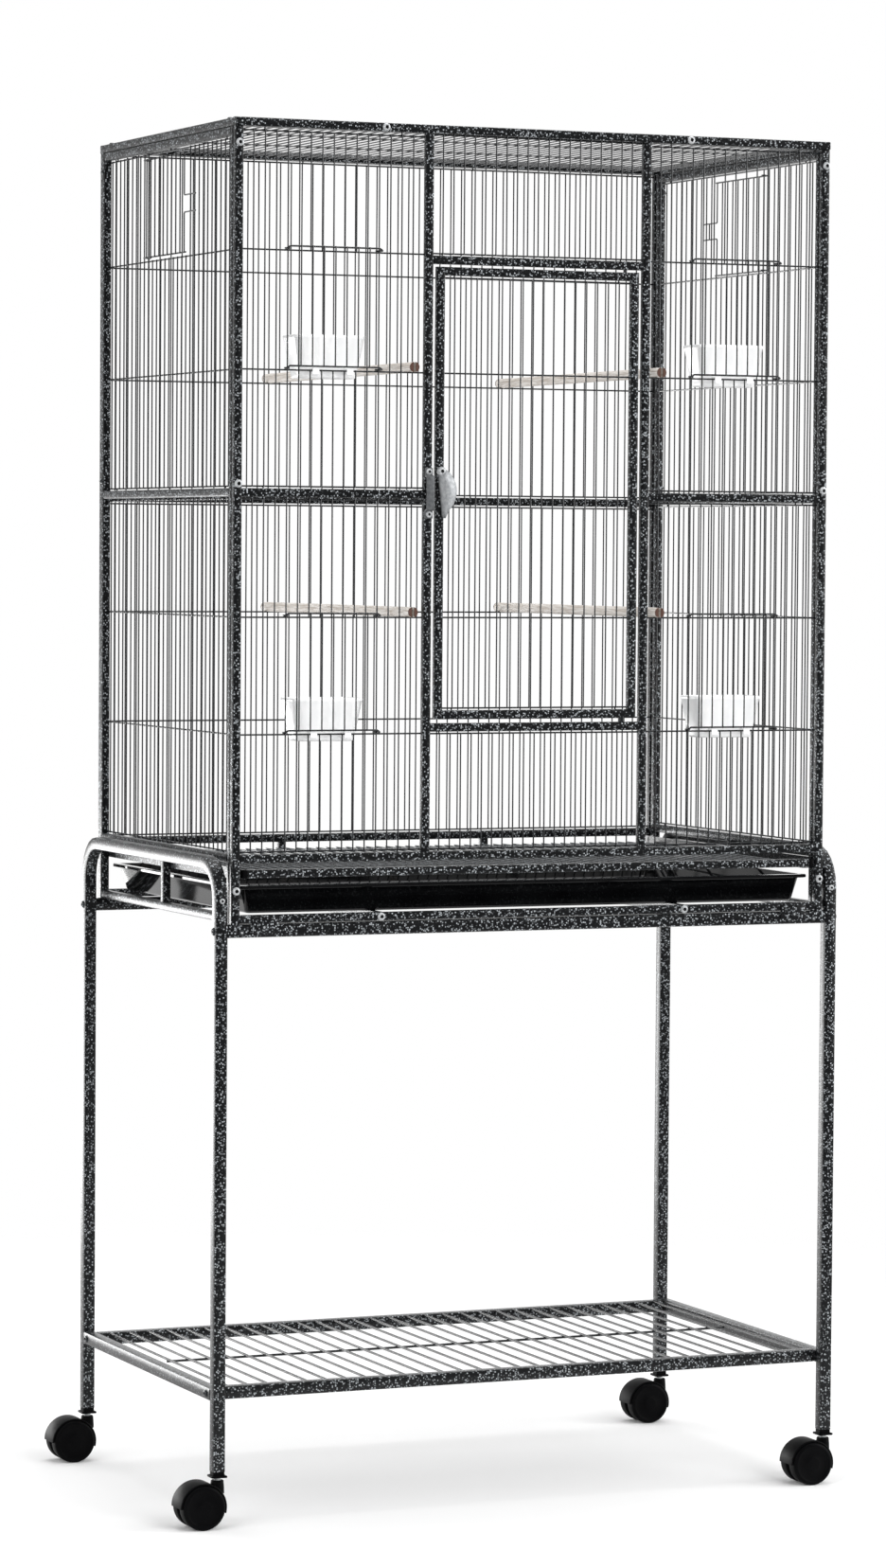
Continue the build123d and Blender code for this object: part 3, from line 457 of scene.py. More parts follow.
def mesh_object(
    name: str,
    points: Iterable[Point],
    faces: Iterable[Sequence[int]] = (),
    edges: Iterable[Sequence[int]] = (),
) -> Object:
    """Make a mesh object from points in millimetres.

    Args:
        name: Object name.
        points: Corner points.
        faces: Corner numbers of each face.
        edges: Point numbers of each edge that has no face.

    Returns:
        The new object, linked to the scene.
    """
    mesh = bpy.data.meshes.new(name)
    mesh.from_pydata([tuple(value * MM for value in point) for point in points], list(edges), list(faces))
    made = bpy.data.objects.new(name, mesh)
    bpy.context.scene.collection.objects.link(made)
    return made


def discard(made: Object) -> None:
    """Remove an object and its mesh."""
    mesh = made.data
    bpy.data.objects.remove(made)
    bpy.data.meshes.remove(mesh)


def tidy_mesh(made: Object, finish: Finish, angle: float = SHARP_ANGLE) -> Object:
    """Turn faces outwards, shade the mesh and give it its finish.

    Args:
        made: Object to tidy.
        finish: Finish of the whole object.
        angle: Edges sharper than this many degrees stay sharp.

    Returns:
        The same object.
    """
    mesh = made.data
    shell = bmesh.new()
    shell.from_mesh(mesh)
    bmesh.ops.recalc_face_normals(shell, faces=shell.faces)
    shell.to_mesh(mesh)
    shell.free()
    mesh.shade_smooth()
    mesh.set_sharp_from_angle(angle=math.radians(angle))
    mesh.materials.clear()
    mesh.materials.append(finish.material())
    return made


def merge(name: str, parts: Sequence[Object], finish: Finish, angle: float = SHARP_ANGLE) -> Object:
    """Join objects of one finish into one object.

    Args:
        name: Name of the joined object.
        parts: Objects to join; they are removed.
        finish: Finish of the whole object.
        angle: Edges sharper than this many degrees stay sharp.

    Returns:
        The joined object.
    """
    shell = bmesh.new()
    for part in parts:
        shell.from_mesh(part.data)
    made = mesh_object(name, [])
    shell.to_mesh(made.data)
    shell.free()
    for part in parts:
        discard(part)
    return tidy_mesh(made, finish, angle)


def settle(made: Object) -> Object:
    """Replace an object's modifiers by the plain mesh they give.

    Args:
        made: Object with live modifiers.

    Returns:
        The same object with a plain mesh.
    """
    graph = bpy.context.evaluated_depsgraph_get()
    mesh = bpy.data.meshes.new_from_object(made.evaluated_get(graph))
    old = made.data
    made.modifiers.clear()
    made.data = mesh
    mesh.name = made.name
    bpy.data.meshes.remove(old)
    return made


def hand_over(made: Object, finish: Finish, body: Body | str, *nodes: str) -> None:
    """Say which body a piece rides on and the nodes it stands for.

    Args:
        made: Finished piece.
        finish: Finish of the piece, which knows its slot in the record; not used.
        body: Body that carries the piece.
        *nodes: CAD nodes that the piece replaces.
    """
    carrier = body.value if isinstance(body, Body) else body
    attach(made, carrier)
    if nodes:
        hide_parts(*nodes)
    log.info("%s rides on %s, %d faces", made.name, carrier, len(made.data.polygons))


def level_run(half: float, y: float, z: float) -> Path:
    """Straight run across the cage, as long to the left as to the right."""
    return [(-half, y, z), (half, y, z)]


def upright_run(x: float, y: float, low: float, high: float) -> Path:
    """Straight run upwards."""
    return [(x, y, low), (x, y, high)]


def depth_run(x: float, front: float, back: float, z: float) -> Path:
    """Straight run from front to back."""
    return [(x, front, z), (x, back, z)]


def mirrored(place: Point, way: Point, ends: Sequence[int] = (1,)) -> list[Spot]:
    """Repeat a fastener on the left and right, and at the other end of the cage where asked.

    Args:
        place: Place of the fastener on the right.
        way: Direction that it faces.
        ends: 1 for the end it is given at, -1 for the other end.

    Returns:
        Place and direction of each fastener.
    """
    spots: list[Spot] = []
    for side in SIDES:
        for end in ends:
            turned = (side * way[0], end * way[1], way[2])
            spots.append(((side * place[0], end * place[1], place[2]), turned))
    return spots


def as_is(across: float, up: float, out: float) -> Point:
    """Keep a point where it is measured."""
    return (across, up, out)


def rounded_ring(middle: Flat, half: Flat, radius: float, level: float, steps: int = 6) -> Path:
    """Points of a rounded rectangle at one level.

    Args:
        middle: Centre of the rectangle.
        half: Half width and half depth.
        radius: Corner radius.
        level: Height of the ring.
        steps: Steps round each corner.

    Returns:
        Points in order round the ring.
    """
    points: Path = []
    for quarter, (side_x, side_y) in enumerate(((1, 1), (-1, 1), (-1, -1), (1, -1))):
        corner_x = middle[0] + side_x * (half[0] - radius)
        corner_y = middle[1] + side_y * (half[1] - radius)
        for step in range(steps + 1):
            angle = math.pi / 2 * (quarter + step / steps)
            points.append((corner_x + radius * math.cos(angle), corner_y + radius * math.sin(angle), level))
    return points


class MeshMaker:
    """Collects closed shells of one piece, in millimetres, as lofts through rings of points."""

    def __init__(self) -> None:
        """Start with no points and no faces."""
        self.points: Path = []
        self.faces: list[Sequence[int]] = []

    def loft(self, rings: Sequence[Path]) -> None:
        """Join closed rings of equal count into one shell with both ends capped.

        Args:
            rings: Rings of points, in order.
        """
        start = len(self.points)
        count = len(rings[0])
        for ring in rings:
            self.points.extend(ring)
        for row in range(len(rings) - 1):
            low = start + row * count
            high = low + count
            for at in range(count):
                after = (at + 1) % count
                self.faces.append((low + at, low + after, high + after, high + at))
        last = start + (len(rings) - 1) * count
        self.faces.append(tuple(range(start, start + count))[::-1])
        self.faces.append(tuple(range(last, last + count)))

    def slab(self, outline: Sequence[Flat], low: float, high: float, place: Place) -> None:
        """Raise a flat outline into a plate between two depths, placed by (across, up, depth)."""
        self.loft([[place(across, up, depth) for across, up in outline] for depth in (low, high)])

    def turn(self, profile: Sequence[Flat], place: Place, steps: int) -> None:
        """Turn a profile on a lathe.

        Args:
            profile: Radius and height of each ring.
            place: Turns (across, up, height) into a point.
            steps: Points round the axis.
        """
        angles = [math.tau * step / steps for step in range(steps)]
        rings = []
        for radius, height in profile:
            rings.append([place(radius * math.cos(a), radius * math.sin(a), height) for a in angles])
        self.loft(rings)

    def done(self, name: str, finish: Finish, bevel: float = 0.0, angle: float = SHARP_ANGLE) -> Object:
        """Make the object, round its edges and dress it.

        Args:
            name: Object name.
            finish: Finish of the piece.
            bevel: Radius that rounds sharp edges.
            angle: Edges sharper than this many degrees are rounded and shaded sharp.

        Returns:
            The finished object.
        """
        made = mesh_object(name, self.points, self.faces)
        shell = bmesh.new()
        shell.from_mesh(made.data)
        bmesh.ops.remove_doubles(shell, verts=shell.verts, dist=DOUBLES)
        bmesh.ops.recalc_face_normals(shell, faces=shell.faces)
        shell.to_mesh(made.data)
        shell.free()
        if bevel:
            rounding = made.modifiers.new("rounding", "BEVEL")
            rounding.width = bevel * MM
            rounding.segments = 2
            rounding.limit_method = "ANGLE"
            rounding.angle_limit = math.radians(angle)
            settle(made)
        return tidy_mesh(made, finish, angle)


class NodeTool:
    """Base of Geometry Nodes trees: named inputs in front, real and dressed geometry at the end."""

    def __init__(self, title: str, inputs: dict[str, str]) -> None:
        """Build the tree.

        Args:
            title: Name of the tree.
            inputs: Name and kind of each input besides the geometry and the finish.
        """
        self.tree = bpy.data.node_groups.new(title, "GeometryNodeTree")
        sockets = self.tree.interface
        sockets.new_socket("Geometry", in_out="INPUT", socket_type="NodeSocketGeometry")
        sockets.new_socket("Geometry", in_out="OUTPUT", socket_type="NodeSocketGeometry")
        self.keys: dict[str, str] = {}
        for name, kind in {**inputs, "Finish": "NodeSocketMaterial"}.items():
            self.keys[name] = sockets.new_socket(name, in_out="INPUT", socket_type=kind).identifier
        source = add_node(self.tree, "NodeGroupInput").outputs
        real = add_node(self.tree, "GeometryNodeRealizeInstances", {"Geometry": self.shape(source)})
        dress = {"Geometry": real.outputs["Geometry"], "Material": source["Finish"]}
        dressed = add_node(self.tree, "GeometryNodeSetMaterial", dress)
        add_node(self.tree, "NodeGroupOutput", {"Geometry": dressed.outputs["Geometry"]})

    def shape(self, source: bpy.types.NodeOutputs) -> Socket:
        """Add the nodes that make the shape and return its geometry."""
        raise NotImplementedError

    def run(self, made: Object, finish: Finish, values: Inputs, angle: float = SHARP_ANGLE) -> Object:
        """Run the tree on an object and keep the result as its plain mesh.

        Args:
            made: Object that holds the paths or points.
            finish: Finish of the result.
            values: Value of each named input.
            angle: Edges sharper than this many degrees stay sharp.

        Returns:
            The same object.
        """
        modifier = made.modifiers.new(self.tree.name, "NODES")
        modifier.node_group = self.tree
        for name, value in values.items():
            modifier[self.keys[name]] = value
        modifier[self.keys["Finish"]] = finish.material()
        return tidy_mesh(settle(made), finish, angle)


class Sweep(NodeTool):
    """Carries one section along paths drawn as mesh edges."""

    BEND_STEPS = 6
    WIRE_SIDES = 8
    EDGE_STEPS = 2

    def __init__(self, section: Section) -> None:
        """Build the tree for one kind of section.

        Args:
            section: Round wire or square tube.
        """
        self.section = section
        self.steps = self.WIRE_SIDES if section is Section.ROUND else self.EDGE_STEPS
        inputs = {name: "NodeSocketFloat" for name in ("Width", "Corner Radius", "Bend Radius")}
        super().__init__(f"Sweep {section.value}", {**inputs, "Steps": "NodeSocketInt"})

    def shape(self, source: bpy.types.NodeOutputs) -> Socket:
        """Round the path's corners and skin it with the section.

        Args:
            source: Inputs of the tree.

        Returns:
            The swept mesh.
        """
        tree = self.tree
        line = add_node(tree, "GeometryNodeMeshToCurve", {"Mesh": source["Geometry"]}).outputs["Curve"]
        bend = {"Curve": line, "Count": self.BEND_STEPS, "Limit Radius": True}
        bend["Radius"] = source["Bend Radius"]
        path = add_node(tree, "GeometryNodeFilletCurve", bend, mode="POLY").outputs["Curve"]
        if self.section is Section.ROUND:
            half = add_node(tree, "ShaderNodeMath", {0: source["Width"], 1: 0.5}, operation="MULTIPLY")
            circle = {"Resolution": source["Steps"], "Radius": half.outputs[0]}
            section = add_node(tree, "GeometryNodeCurvePrimitiveCircle", circle, mode="RADIUS")
        else:
            sides = {"Width": source["Width"], "Height": source["Width"]}
            square = add_node(tree, "GeometryNodeCurvePrimitiveQuadrilateral", sides, mode="RECTANGLE")
            edges = {"Curve": square.outputs["Curve"], "Count": source["Steps"], "Limit Radius": True}
            edges["Radius"] = source["Corner Radius"]
            section = add_node(tree, "GeometryNodeFilletCurve", edges, mode="POLY")
        skin = {"Curve": path, "Profile Curve": section.outputs["Curve"], "Fill Caps": True}
        return add_node(tree, "GeometryNodeCurveToMesh", skin).outputs["Mesh"]

    def along(
        self,
        name: str,
        paths: Sequence[Path],
        finish: Finish,
        width: float,
        corner: float = 0.0,
        bend: float = 0.0,
        steps: int = 0,
    ) -> Object:
        """Sweep the section along paths and return a plain mesh.

        Args:
            name: Object name.
            paths: Polylines in millimetres.
            finish: Finish of the swept members.
            width: Diameter or side of the section.
            corner: Edge radius of a square section.
            bend: Radius that rounds the path's corners.
            steps: Sides of a round section or steps in each rounded edge, where not the usual count.

        Returns:
            The swept object.
        """
        points: Path = []
        edges: list[tuple[int, int]] = []
        for path in paths:
            start = len(points)
            points.extend(path)
            edges.extend((start + at, start + at + 1) for at in range(len(path) - 1))
        values = {"Width": width * MM, "Corner Radius": corner * MM, "Bend Radius": bend * MM}
        values["Steps"] = steps or self.steps
        return self.run(mesh_object(name, points, edges=edges), finish, values)


class Fasteners(NodeTool):
    """Sets round-headed bolts on points, each facing its own way."""

    FACING = "facing"
    HEAD_STEPS = 20
    SOCKET_SIDES = 6
    SOFT_ANGLE = 50.0

    def __init__(self) -> None:
        """Build the tree."""
        super().__init__("Set fasteners", {"Fastener": "NodeSocketObject", "Head Scale": "NodeSocketFloat"})

    def shape(self, source: bpy.types.NodeOutputs) -> Socket:
        """Set one fastener on each point, turned to the point's own direction.

        Args:
            source: Inputs of the tree.

        Returns:
            The fasteners as instances.
        """
        tree = self.tree
        head = add_node(tree, "GeometryNodeObjectInfo", {"Object": source["Fastener"]})
        stored = {"Name": self.FACING}
        facing = add_node(tree, "GeometryNodeInputNamedAttribute", stored, data_type="FLOAT_VECTOR")
        way = {"Vector": facing.outputs["Attribute"]}
        turn = add_node(tree, "FunctionNodeAlignRotationToVector", way, axis="Z")
        size = add_node(tree, "ShaderNodeCombineXYZ", {axis: source["Head Scale"] for axis in "XYZ"})
        places = {
            "Points": source["Geometry"],
            "Instance": head.outputs["Geometry"],
            "Rotation": turn.outputs["Rotation"],
            "Scale": size.outputs["Vector"],
        }
        return add_node(tree, "GeometryNodeInstanceOnPoints", places).outputs["Instances"]

    def blank(self, part: FastenerPart) -> Object:
        """Make one piece of a 9 mm button-head bolt, facing up.

        Args:
            part: Domed head with its washer and well, or the six-sided socket in that well.

        Returns:
            The piece as an object.
        """
        maker = MeshMaker()
        washer = ((5.2, 0.0), (5.2, 0.6), (4.6, 0.8))
        dome = ((4.5, 1.5), (3.7, 2.2), (2.7, 2.5))
        well = ((2.4, 2.4), (2.3, 0.9))
        socket = ((2.5, 0.9), (2.5, 2.1), (2.1, 2.1), (2.0, 1.2))
        if part is FastenerPart.HEAD:
            maker.turn(washer + dome + well, as_is, self.HEAD_STEPS)
        else:
            maker.turn(socket, as_is, self.SOCKET_SIDES)
        return mesh_object(f"fastener_{part.value}", maker.points, maker.faces)

    def set_out(
        self,
        name: str,
        spots: Sequence[Spot],
        finish: Finish,
        scale: float,
        part: FastenerPart = FastenerPart.HEAD,
    ) -> Object:
        """Set one head or socket on each spot.

        Args:
            name: Object name.
            spots: Place in millimetres and outward direction of each fastener.
            finish: Finish of the pieces.
            scale: Size against the 9 mm bolt.
            part: Piece to set out.

        Returns:
            The pieces as one plain mesh.
        """
        blank = self.blank(part)
        made = mesh_object(name, [place for place, _ in spots])
        facing = made.data.attributes.new(self.FACING, "FLOAT_VECTOR", "POINT")
        for at, (_, direction) in enumerate(spots):
            facing.data[at].vector = direction
        self.run(made, finish, {"Fastener": blank, "Head Scale": scale}, self.SOFT_ANGLE)
        discard(blank)
        return made


@dataclass(frozen=True)
class CageSize:
    """Sizes that every part of the cage shares."""

    half_width: float = 382.0
    half_depth: float = 238.0
    top: float = 1626.0
    tube: float = 10.0
    tube_corner: float = 2.0
    post_low: float = 699.0
    base_rail: float = 705.0
    bottom_rail: float = 775.0
    mid_rail: float = 1197.0
    side_top_rail: float = 1611.0
    top_rail: float = 1621.0
    header: float = 1470.0
    sill: float = 925.0
    bay: float = 145.0
    cross_levels: tuple[float, float, float, float] = (1476.0, 1338.5, 1053.5, 918.0)
    wire: float = 1.8
    rung: float = 2.0
    setback: float = 4.9
    inset: float = 2.4
    top_inset: float = 4.1
    section_gaps: int = 16
    side_gaps: int = 30
    feeder_wire: int = 8
    guide_reach: int = 4
    perch_wire: int = 15
    nest_first: int = 10
    nest_last: int = 20
    back_half_width: float = 380.5
    back_mid_rail: float = 1194.0
    back_bottom_rail: float = 769.5
    back_strut: float = 138.5

    @property
    def half_tube(self) -> float:
        """Half the cage tube."""
        return self.tube / 2

    @property
    def front_line(self) -> float:
        """Middle of the front frame's tubes, front to back."""
        return -self.half_depth + self.half_tube

    @property
    def post_x(self) -> float:
        """Middle of the corner posts, from the middle of the cage."""
        return self.half_width - self.half_tube

    @property
    def inner_x(self) -> float:
        """Inner face of the side frames."""
        return self.half_width - self.tube

    @property
    def side_back(self) -> float:
        """Front face of the side frames' back posts."""
        return self.half_depth - 2 * self.tube

    @property
    def side_front(self) -> float:
        """Back face of the side frames' front posts."""
        return -self.side_back

    @property
    def side_post(self) -> float:
        """Middle of the side frames' back posts."""
        return self.side_back + self.half_tube

    @property
    def under_top(self) -> float:
        """Lower face of the front and back top rails."""
        return self.top_rail - self.half_tube

    @property
    def over_bottom(self) -> float:
        """Upper face of the bottom rails."""
        return self.bottom_rail + self.half_tube

    @property
    def strut_low(self) -> float:
        """Upper face of the base rails."""
        return self.base_rail + self.half_tube

    @property
    def back_post(self) -> float:
        """Place of the back frame's posts, from the middle of the cage."""
        return self.back_half_width - self.half_tube

    @property
    def section_step(self) -> float:
        """Wire spacing of the front sections."""
        return (self.inner_x - self.bay) / self.section_gaps

    @property
    def side_places(self) -> list[float]:
        """Places of the upright wires of the sides."""
        return self.evenly(self.side_front, self.side_back, self.side_gaps)

    @property
    def feeder_x(self) -> float:
        """Middle of the feeder doors, from the middle of the cage."""
        return self.inner_x - self.section_step * self.feeder_wire

    @property
    def perch_x(self) -> float:
        """Place of the perches, from the middle of the cage."""
        return self.inner_x - self.section_step * self.perch_wire

    def on_face(self, face: Face, across: float, along: float, depth: float) -> Point:
        """Place a panel point in the cage.

        Args:
            face: Side of the cage.
            across: Distance across the panel.
            along: Distance up the panel, or back for the top.
            depth: Distance in from the outer face.

        Returns:
            The point.
        """
        if face is Face.TOP:
            return (across, along, self.top - depth)
        if face in (Face.LEFT, Face.RIGHT):
            out = self.half_width - depth
            return (-out if face is Face.LEFT else out, across, along)
        out = self.half_depth - depth
        return (across, -out if face is Face.FRONT else out, along)

    def evenly(self, start: float, end: float, gaps: int) -> list[float]:
        """Places of the wires that split the width between two rail faces into equal gaps."""
        step = (end - start) / gaps
        return [start + step * count for count in range(1, gaps)]


@dataclass(frozen=True)
class StandSize:
    """Sizes that every part of the stand shares."""

    tube: float = 15.0
    tube_corner: float = 2.2
    leg_x: float = 394.0
    leg_y: float = 230.5
    leg_low: float = 65.3
    leg_top: float = 769.5
    bend: float = 42.5
    bar_level: float = 691.5
    tie_level: float = 153.5
    shelf_y: float = 212.0

    @property
    def half_tube(self) -> float:
        """Half the stand tube."""
        return self.tube / 2


CAGE = CageSize()
STAND = StandSize()


def tube_piece(
    tubes: Sweep,
    name: str,
    paths: Sequence[Path],
    size: CageSize | StandSize,
    body: Body,
    node: str,
    bend: float = 0.0,
) -> None:
    """Sweep the tubes of one node and hand them over."""
    made = tubes.along(name, paths, HAMMERTONE, size.tube, size.tube_corner, bend)
    hand_over(made, HAMMERTONE, body, node)


@dataclass
class WirePanel:
    """One welded mesh: upright wires in front, cross wires behind, short welds to the rails."""

    name: str
    face: Face
    size: CageSize
    sweep: Sweep

    def __post_init__(self) -> None:
        """Start with no wires; on the roof the cross wires lie on top."""
        self.wires: list[Path] = []
        self.rungs: list[Path] = []
        size = self.size
        self.wire_depth = size.setback + size.wire / 2
        self.rung_depth = size.setback + size.wire + size.rung / 2
        if self.face is Face.TOP:
            self.rung_depth = size.half_tube
            self.wire_depth = size.half_tube + size.rung / 2 + size.wire / 2

    def upright(self, across: float, low: float, high: float) -> None:
        """Add one upright wire."""
        ends = [self.size.on_face(self.face, across, level, self.wire_depth) for level in (low, high)]
        self.wires.append(ends)

    def cross(self, level: float, left: float, right: float) -> None:
        """Add one cross wire."""
        ends = [self.size.on_face(self.face, across, level, self.rung_depth) for across in (left, right)]
        self.rungs.append(ends)

    def weld(self, across: float, rail: float, level: float) -> None:
        """Add one short weld between a rail and the end cross wire."""
        ends = [self.size.on_face(self.face, across, at, self.rung_depth) for at in (rail, level)]
        self.rungs.append(ends)

    def field(
        self,
        places: Sequence[float],
        ends: Flat,
        rails: Flat,
        welds: Sequence[int],
        opening: range = range(0),
        gap: Flat = (0.0, 0.0),
        high_inset: float | None = None,
    ) -> None:
        """Fill one bay between two rails.

        Args:
            places: Wire places across the panel.
            ends: Left and right end of the cross wires.
            rails: Top face of the rail below and lower face of the rail above.
            welds: Wire indices that have a weld at each rail.
            opening: Counts, from 1, of the wires that are cut.
            gap: Stretch that is cut out of those wires.
            high_inset: Gap from the rail above to the end wire, where it isn't the usual one.
        """
        size = self.size
        low, high = rails
        low_level = low + size.inset
        high_level = high - (size.inset if high_inset is None else high_inset)
        start = low_level - size.rung / 2
        end = high_level + size.rung / 2
        for count, across in enumerate(places, start=1):
            if count not in opening:
                self.upright(across, start, end)
                continue
            self.upright(across, start, gap[0])
            if gap[1] < end:
                self.upright(across, gap[1], end)
        for rail, level in ((low, low_level), (high, high_level)):
            self.cross(level, *ends)
            for at in welds:
                self.weld(places[at], rail, level)

    def build(self, body: Body = Body.CAGE) -> None:
        """Sweep the wires and hand the panel over.

        Args:
            body: Body that carries the panel.
        """
        fine = self.sweep.along(self.name + "_fine", self.wires, COATED_WIRE, self.size.wire)
        stout = self.sweep.along(self.name + "_stout", self.rungs, COATED_WIRE, self.size.rung)
        hand_over(merge(self.name + "_wires", [fine, stout], COATED_WIRE), COATED_WIRE, body, self.name)


@dataclass
class CagePanels:
    """All fixed wire panels of the cage; the welds name the wires that are welded to each rail."""

    size: CageSize
    sweep: Sweep
    bay_gaps: int = 20
    top_gaps: int = 56
    top_bays: int = 3
    back_wires: int = 25
    back_share: int = 11
    whole_wires: int = 2
    section_welds: tuple[int, ...] = (1, 13)
    bay_welds: tuple[int, ...] = (0, -2)
    side_welds: tuple[int, ...] = (1, 14, 27)
    back_welds: tuple[int, ...] = (2, 17, 33, -3)
    top_welds: tuple[int, ...] = (1, 18, 36, -2)

    def build(self) -> None:
        """Build every panel."""
        for word, side in HANDS:
            self.front_section(f"front_{word}_mesh", side)
        self.door_bay()
        self.side("left_mesh", Face.LEFT)
        self.side("right_mesh", Face.RIGHT)
        self.back()
        self.roof()

    def bays(self, top: float) -> tuple[Flat, Flat]:
        """Find the rail faces of the two bays of a panel.

        Args:
            top: Lower face of the top rail.

        Returns:
            Low and high face of the upper bay, then of the lower bay.
        """
        size = self.size
        upper = (size.mid_rail + size.half_tube, top)
        lower = (size.over_bottom, size.mid_rail - size.half_tube)
        return upper, lower

    def front_section(self, name: str, side: int) -> None:
        """Build the front section on one side of the doorway.

        Args:
            name: Node that the panel stands for.
            side: -1 for left, 1 for right.
        """
        size = self.size
        panel = WirePanel(name, Face.FRONT, size, self.sweep)
        left, right = sorted((side * size.inner_x, side * size.bay))
        places = [side * (size.inner_x - size.section_step * count) for count in range(1, size.section_gaps)]
        reach = size.guide_reach - self.whole_wires
        opening = range(size.feeder_wire - reach, size.feeder_wire + reach + 1)
        upper, lower = self.bays(size.under_top)
        over, middle_over, middle_under, under = size.cross_levels
        half = size.rung / 2
        for rails, high_cross, low_cross, inset in (
            (upper, over, middle_over, size.top_inset),
            (lower, middle_under, under, size.inset),
        ):
            gap = (low_cross + half, high_cross - half)
            panel.field(places, (left, right), rails, self.section_welds, opening, gap, inset)
        for level in size.cross_levels:
            panel.cross(level, left, right)
        panel.build()

    def door_bay(self) -> None:
        """Build the mesh over and under the doorway."""
        size = self.size
        panel = WirePanel("door_bay_mesh", Face.FRONT, size, self.sweep)
        inner = size.bay - size.tube
        places = size.evenly(-inner, inner, self.bay_gaps)
        over = (size.header + size.half_tube, size.under_top)
        under = (size.over_bottom, size.sill - size.half_tube)
        for rails, inset in ((over, size.rung / 2), (under, size.inset)):
            panel.field(places, (-inner, inner), rails, self.bay_welds, high_inset=inset)
        panel.build()

    def side(self, name: str, face: Face) -> None:
        """Build one side panel, open behind its nest door.

        Args:
            name: Node that the panel stands for.
            face: Left or right.
        """
        size = self.size
        panel = WirePanel(name, face, size, self.sweep)
        ends = (size.side_front, size.side_back)
        upper, lower = self.bays(size.side_top_rail - size.half_tube)
        opening = range(size.nest_first + 1, size.nest_last)
        gap = (size.cross_levels[0] + size.rung / 2, size.top)
        panel.field(size.side_places, ends, upper, self.side_welds, opening, gap)
        panel.field(size.side_places, ends, lower, self.side_welds)
        for level in size.cross_levels:
            panel.cross(level, *ends)
        panel.build()

    def back(self) -> None:
        """Build the back panel."""
        size = self.size
        panel = WirePanel("back_mesh", Face.BACK, size, self.sweep)
        step = size.perch_x / self.back_share
        places = [step * count for count in range(-self.back_wires, self.back_wires + 1)]
        inner = size.back_half_width - size.tube
        half = size.half_tube
        upper = (size.back_mid_rail + half, size.under_top)
        lower = (size.back_bottom_rail + half, size.back_mid_rail - half)
        for rails in (upper, lower):
            panel.field(places, (-inner, inner), rails, self.back_welds)
        for level in size.cross_levels:
            panel.cross(level, -inner, inner)
        panel.build()

    def roof(self) -> None:
        """Build the top panel."""
        size = self.size
        panel = WirePanel("top_mesh", Face.TOP, size, self.sweep)
        ends = (-size.inner_x, size.inner_x)
        places = size.evenly(*ends, self.top_gaps)
        panel.field(places, ends, (size.side_front, size.side_back), self.top_welds)
        for level in size.evenly(size.side_front, size.side_back, self.top_bays):
            panel.cross(level, *ends)
        panel.build()


@dataclass
class CageFrames:
    """Square tube frames of the cage."""

    size: CageSize
    sweep: Sweep

    def build(self) -> None:
        """Build the five frames."""
        frames = {
            "front_frame": self.front(),
            "left_frame": self.side(-1),
            "right_frame": self.side(1),
            "back_frame": self.back(),
            "top_frame": self.roof(),
        }
        for node, paths in frames.items():
            tube_piece(self.sweep, node + "_tubes", paths, self.size, Body.CAGE, node)

    def front(self) -> list[Path]:
        """Lay out the front frame.

        Returns:
            Centre lines of its tubes.
        """
        size = self.size
        y = size.front_line
        paths = [level_run(size.half_width, y, size.top_rail)]
        for side in SIDES:
            paths.append(upright_run(side * size.post_x, y, size.post_low, size.under_top))
            jamb = side * (size.bay - size.half_tube)
            paths.append(upright_run(jamb, y, size.over_bottom, size.under_top))
            paths.append([(side * size.inner_x, y, size.mid_rail), (side * size.bay, y, size.mid_rail)])
        paths += [level_run(size.bay - size.tube, y, level) for level in (size.header, size.sill)]
        paths += [level_run(size.inner_x, y, level) for level in (size.bottom_rail, size.base_rail)]
        return paths

    def side(self, side: int) -> list[Path]:
        """Lay out one side frame.

        Args:
            side: -1 for left, 1 for right.

        Returns:
            Centre lines of its tubes.
        """
        size = self.size
        x = side * size.post_x
        top = size.side_top_rail + size.half_tube
        paths = [upright_run(x, end * size.side_post, size.post_low, top) for end in SIDES]
        for level in (size.side_top_rail, size.mid_rail, size.bottom_rail, size.base_rail):
            paths.append(depth_run(x, size.side_front, size.side_back, level))
        paths.append(upright_run(x, 0.0, size.strut_low, size.bottom_rail - size.half_tube))
        return paths

    def back(self) -> list[Path]:
        """Lay out the back frame.

        Returns:
            Centre lines of its tubes.
        """
        size = self.size
        y = -size.front_line
        strut_high = size.back_bottom_rail - size.half_tube
        paths = [level_run(size.back_half_width, y, size.top_rail)]
        for side in SIDES:
            paths.append(upright_run(side * size.back_post, y, size.post_low, size.under_top))
            paths.append(upright_run(side * size.back_strut, y, size.strut_low, strut_high))
        for level in (size.back_mid_rail, size.back_bottom_rail, size.base_rail):
            paths.append(level_run(size.back_half_width - size.tube, y, level))
        return paths

    def roof(self) -> list[Path]:
        """Lay out the top frame.

        Returns:
            Centre lines of its tubes.
        """
        size = self.size
        end = size.half_depth - size.tube
        paths = [depth_run(side * size.post_x, -end, end, size.top_rail) for side in SIDES]
        paths += [level_run(size.inner_x, side * size.side_post, size.top_rail) for side in SIDES]
        return paths


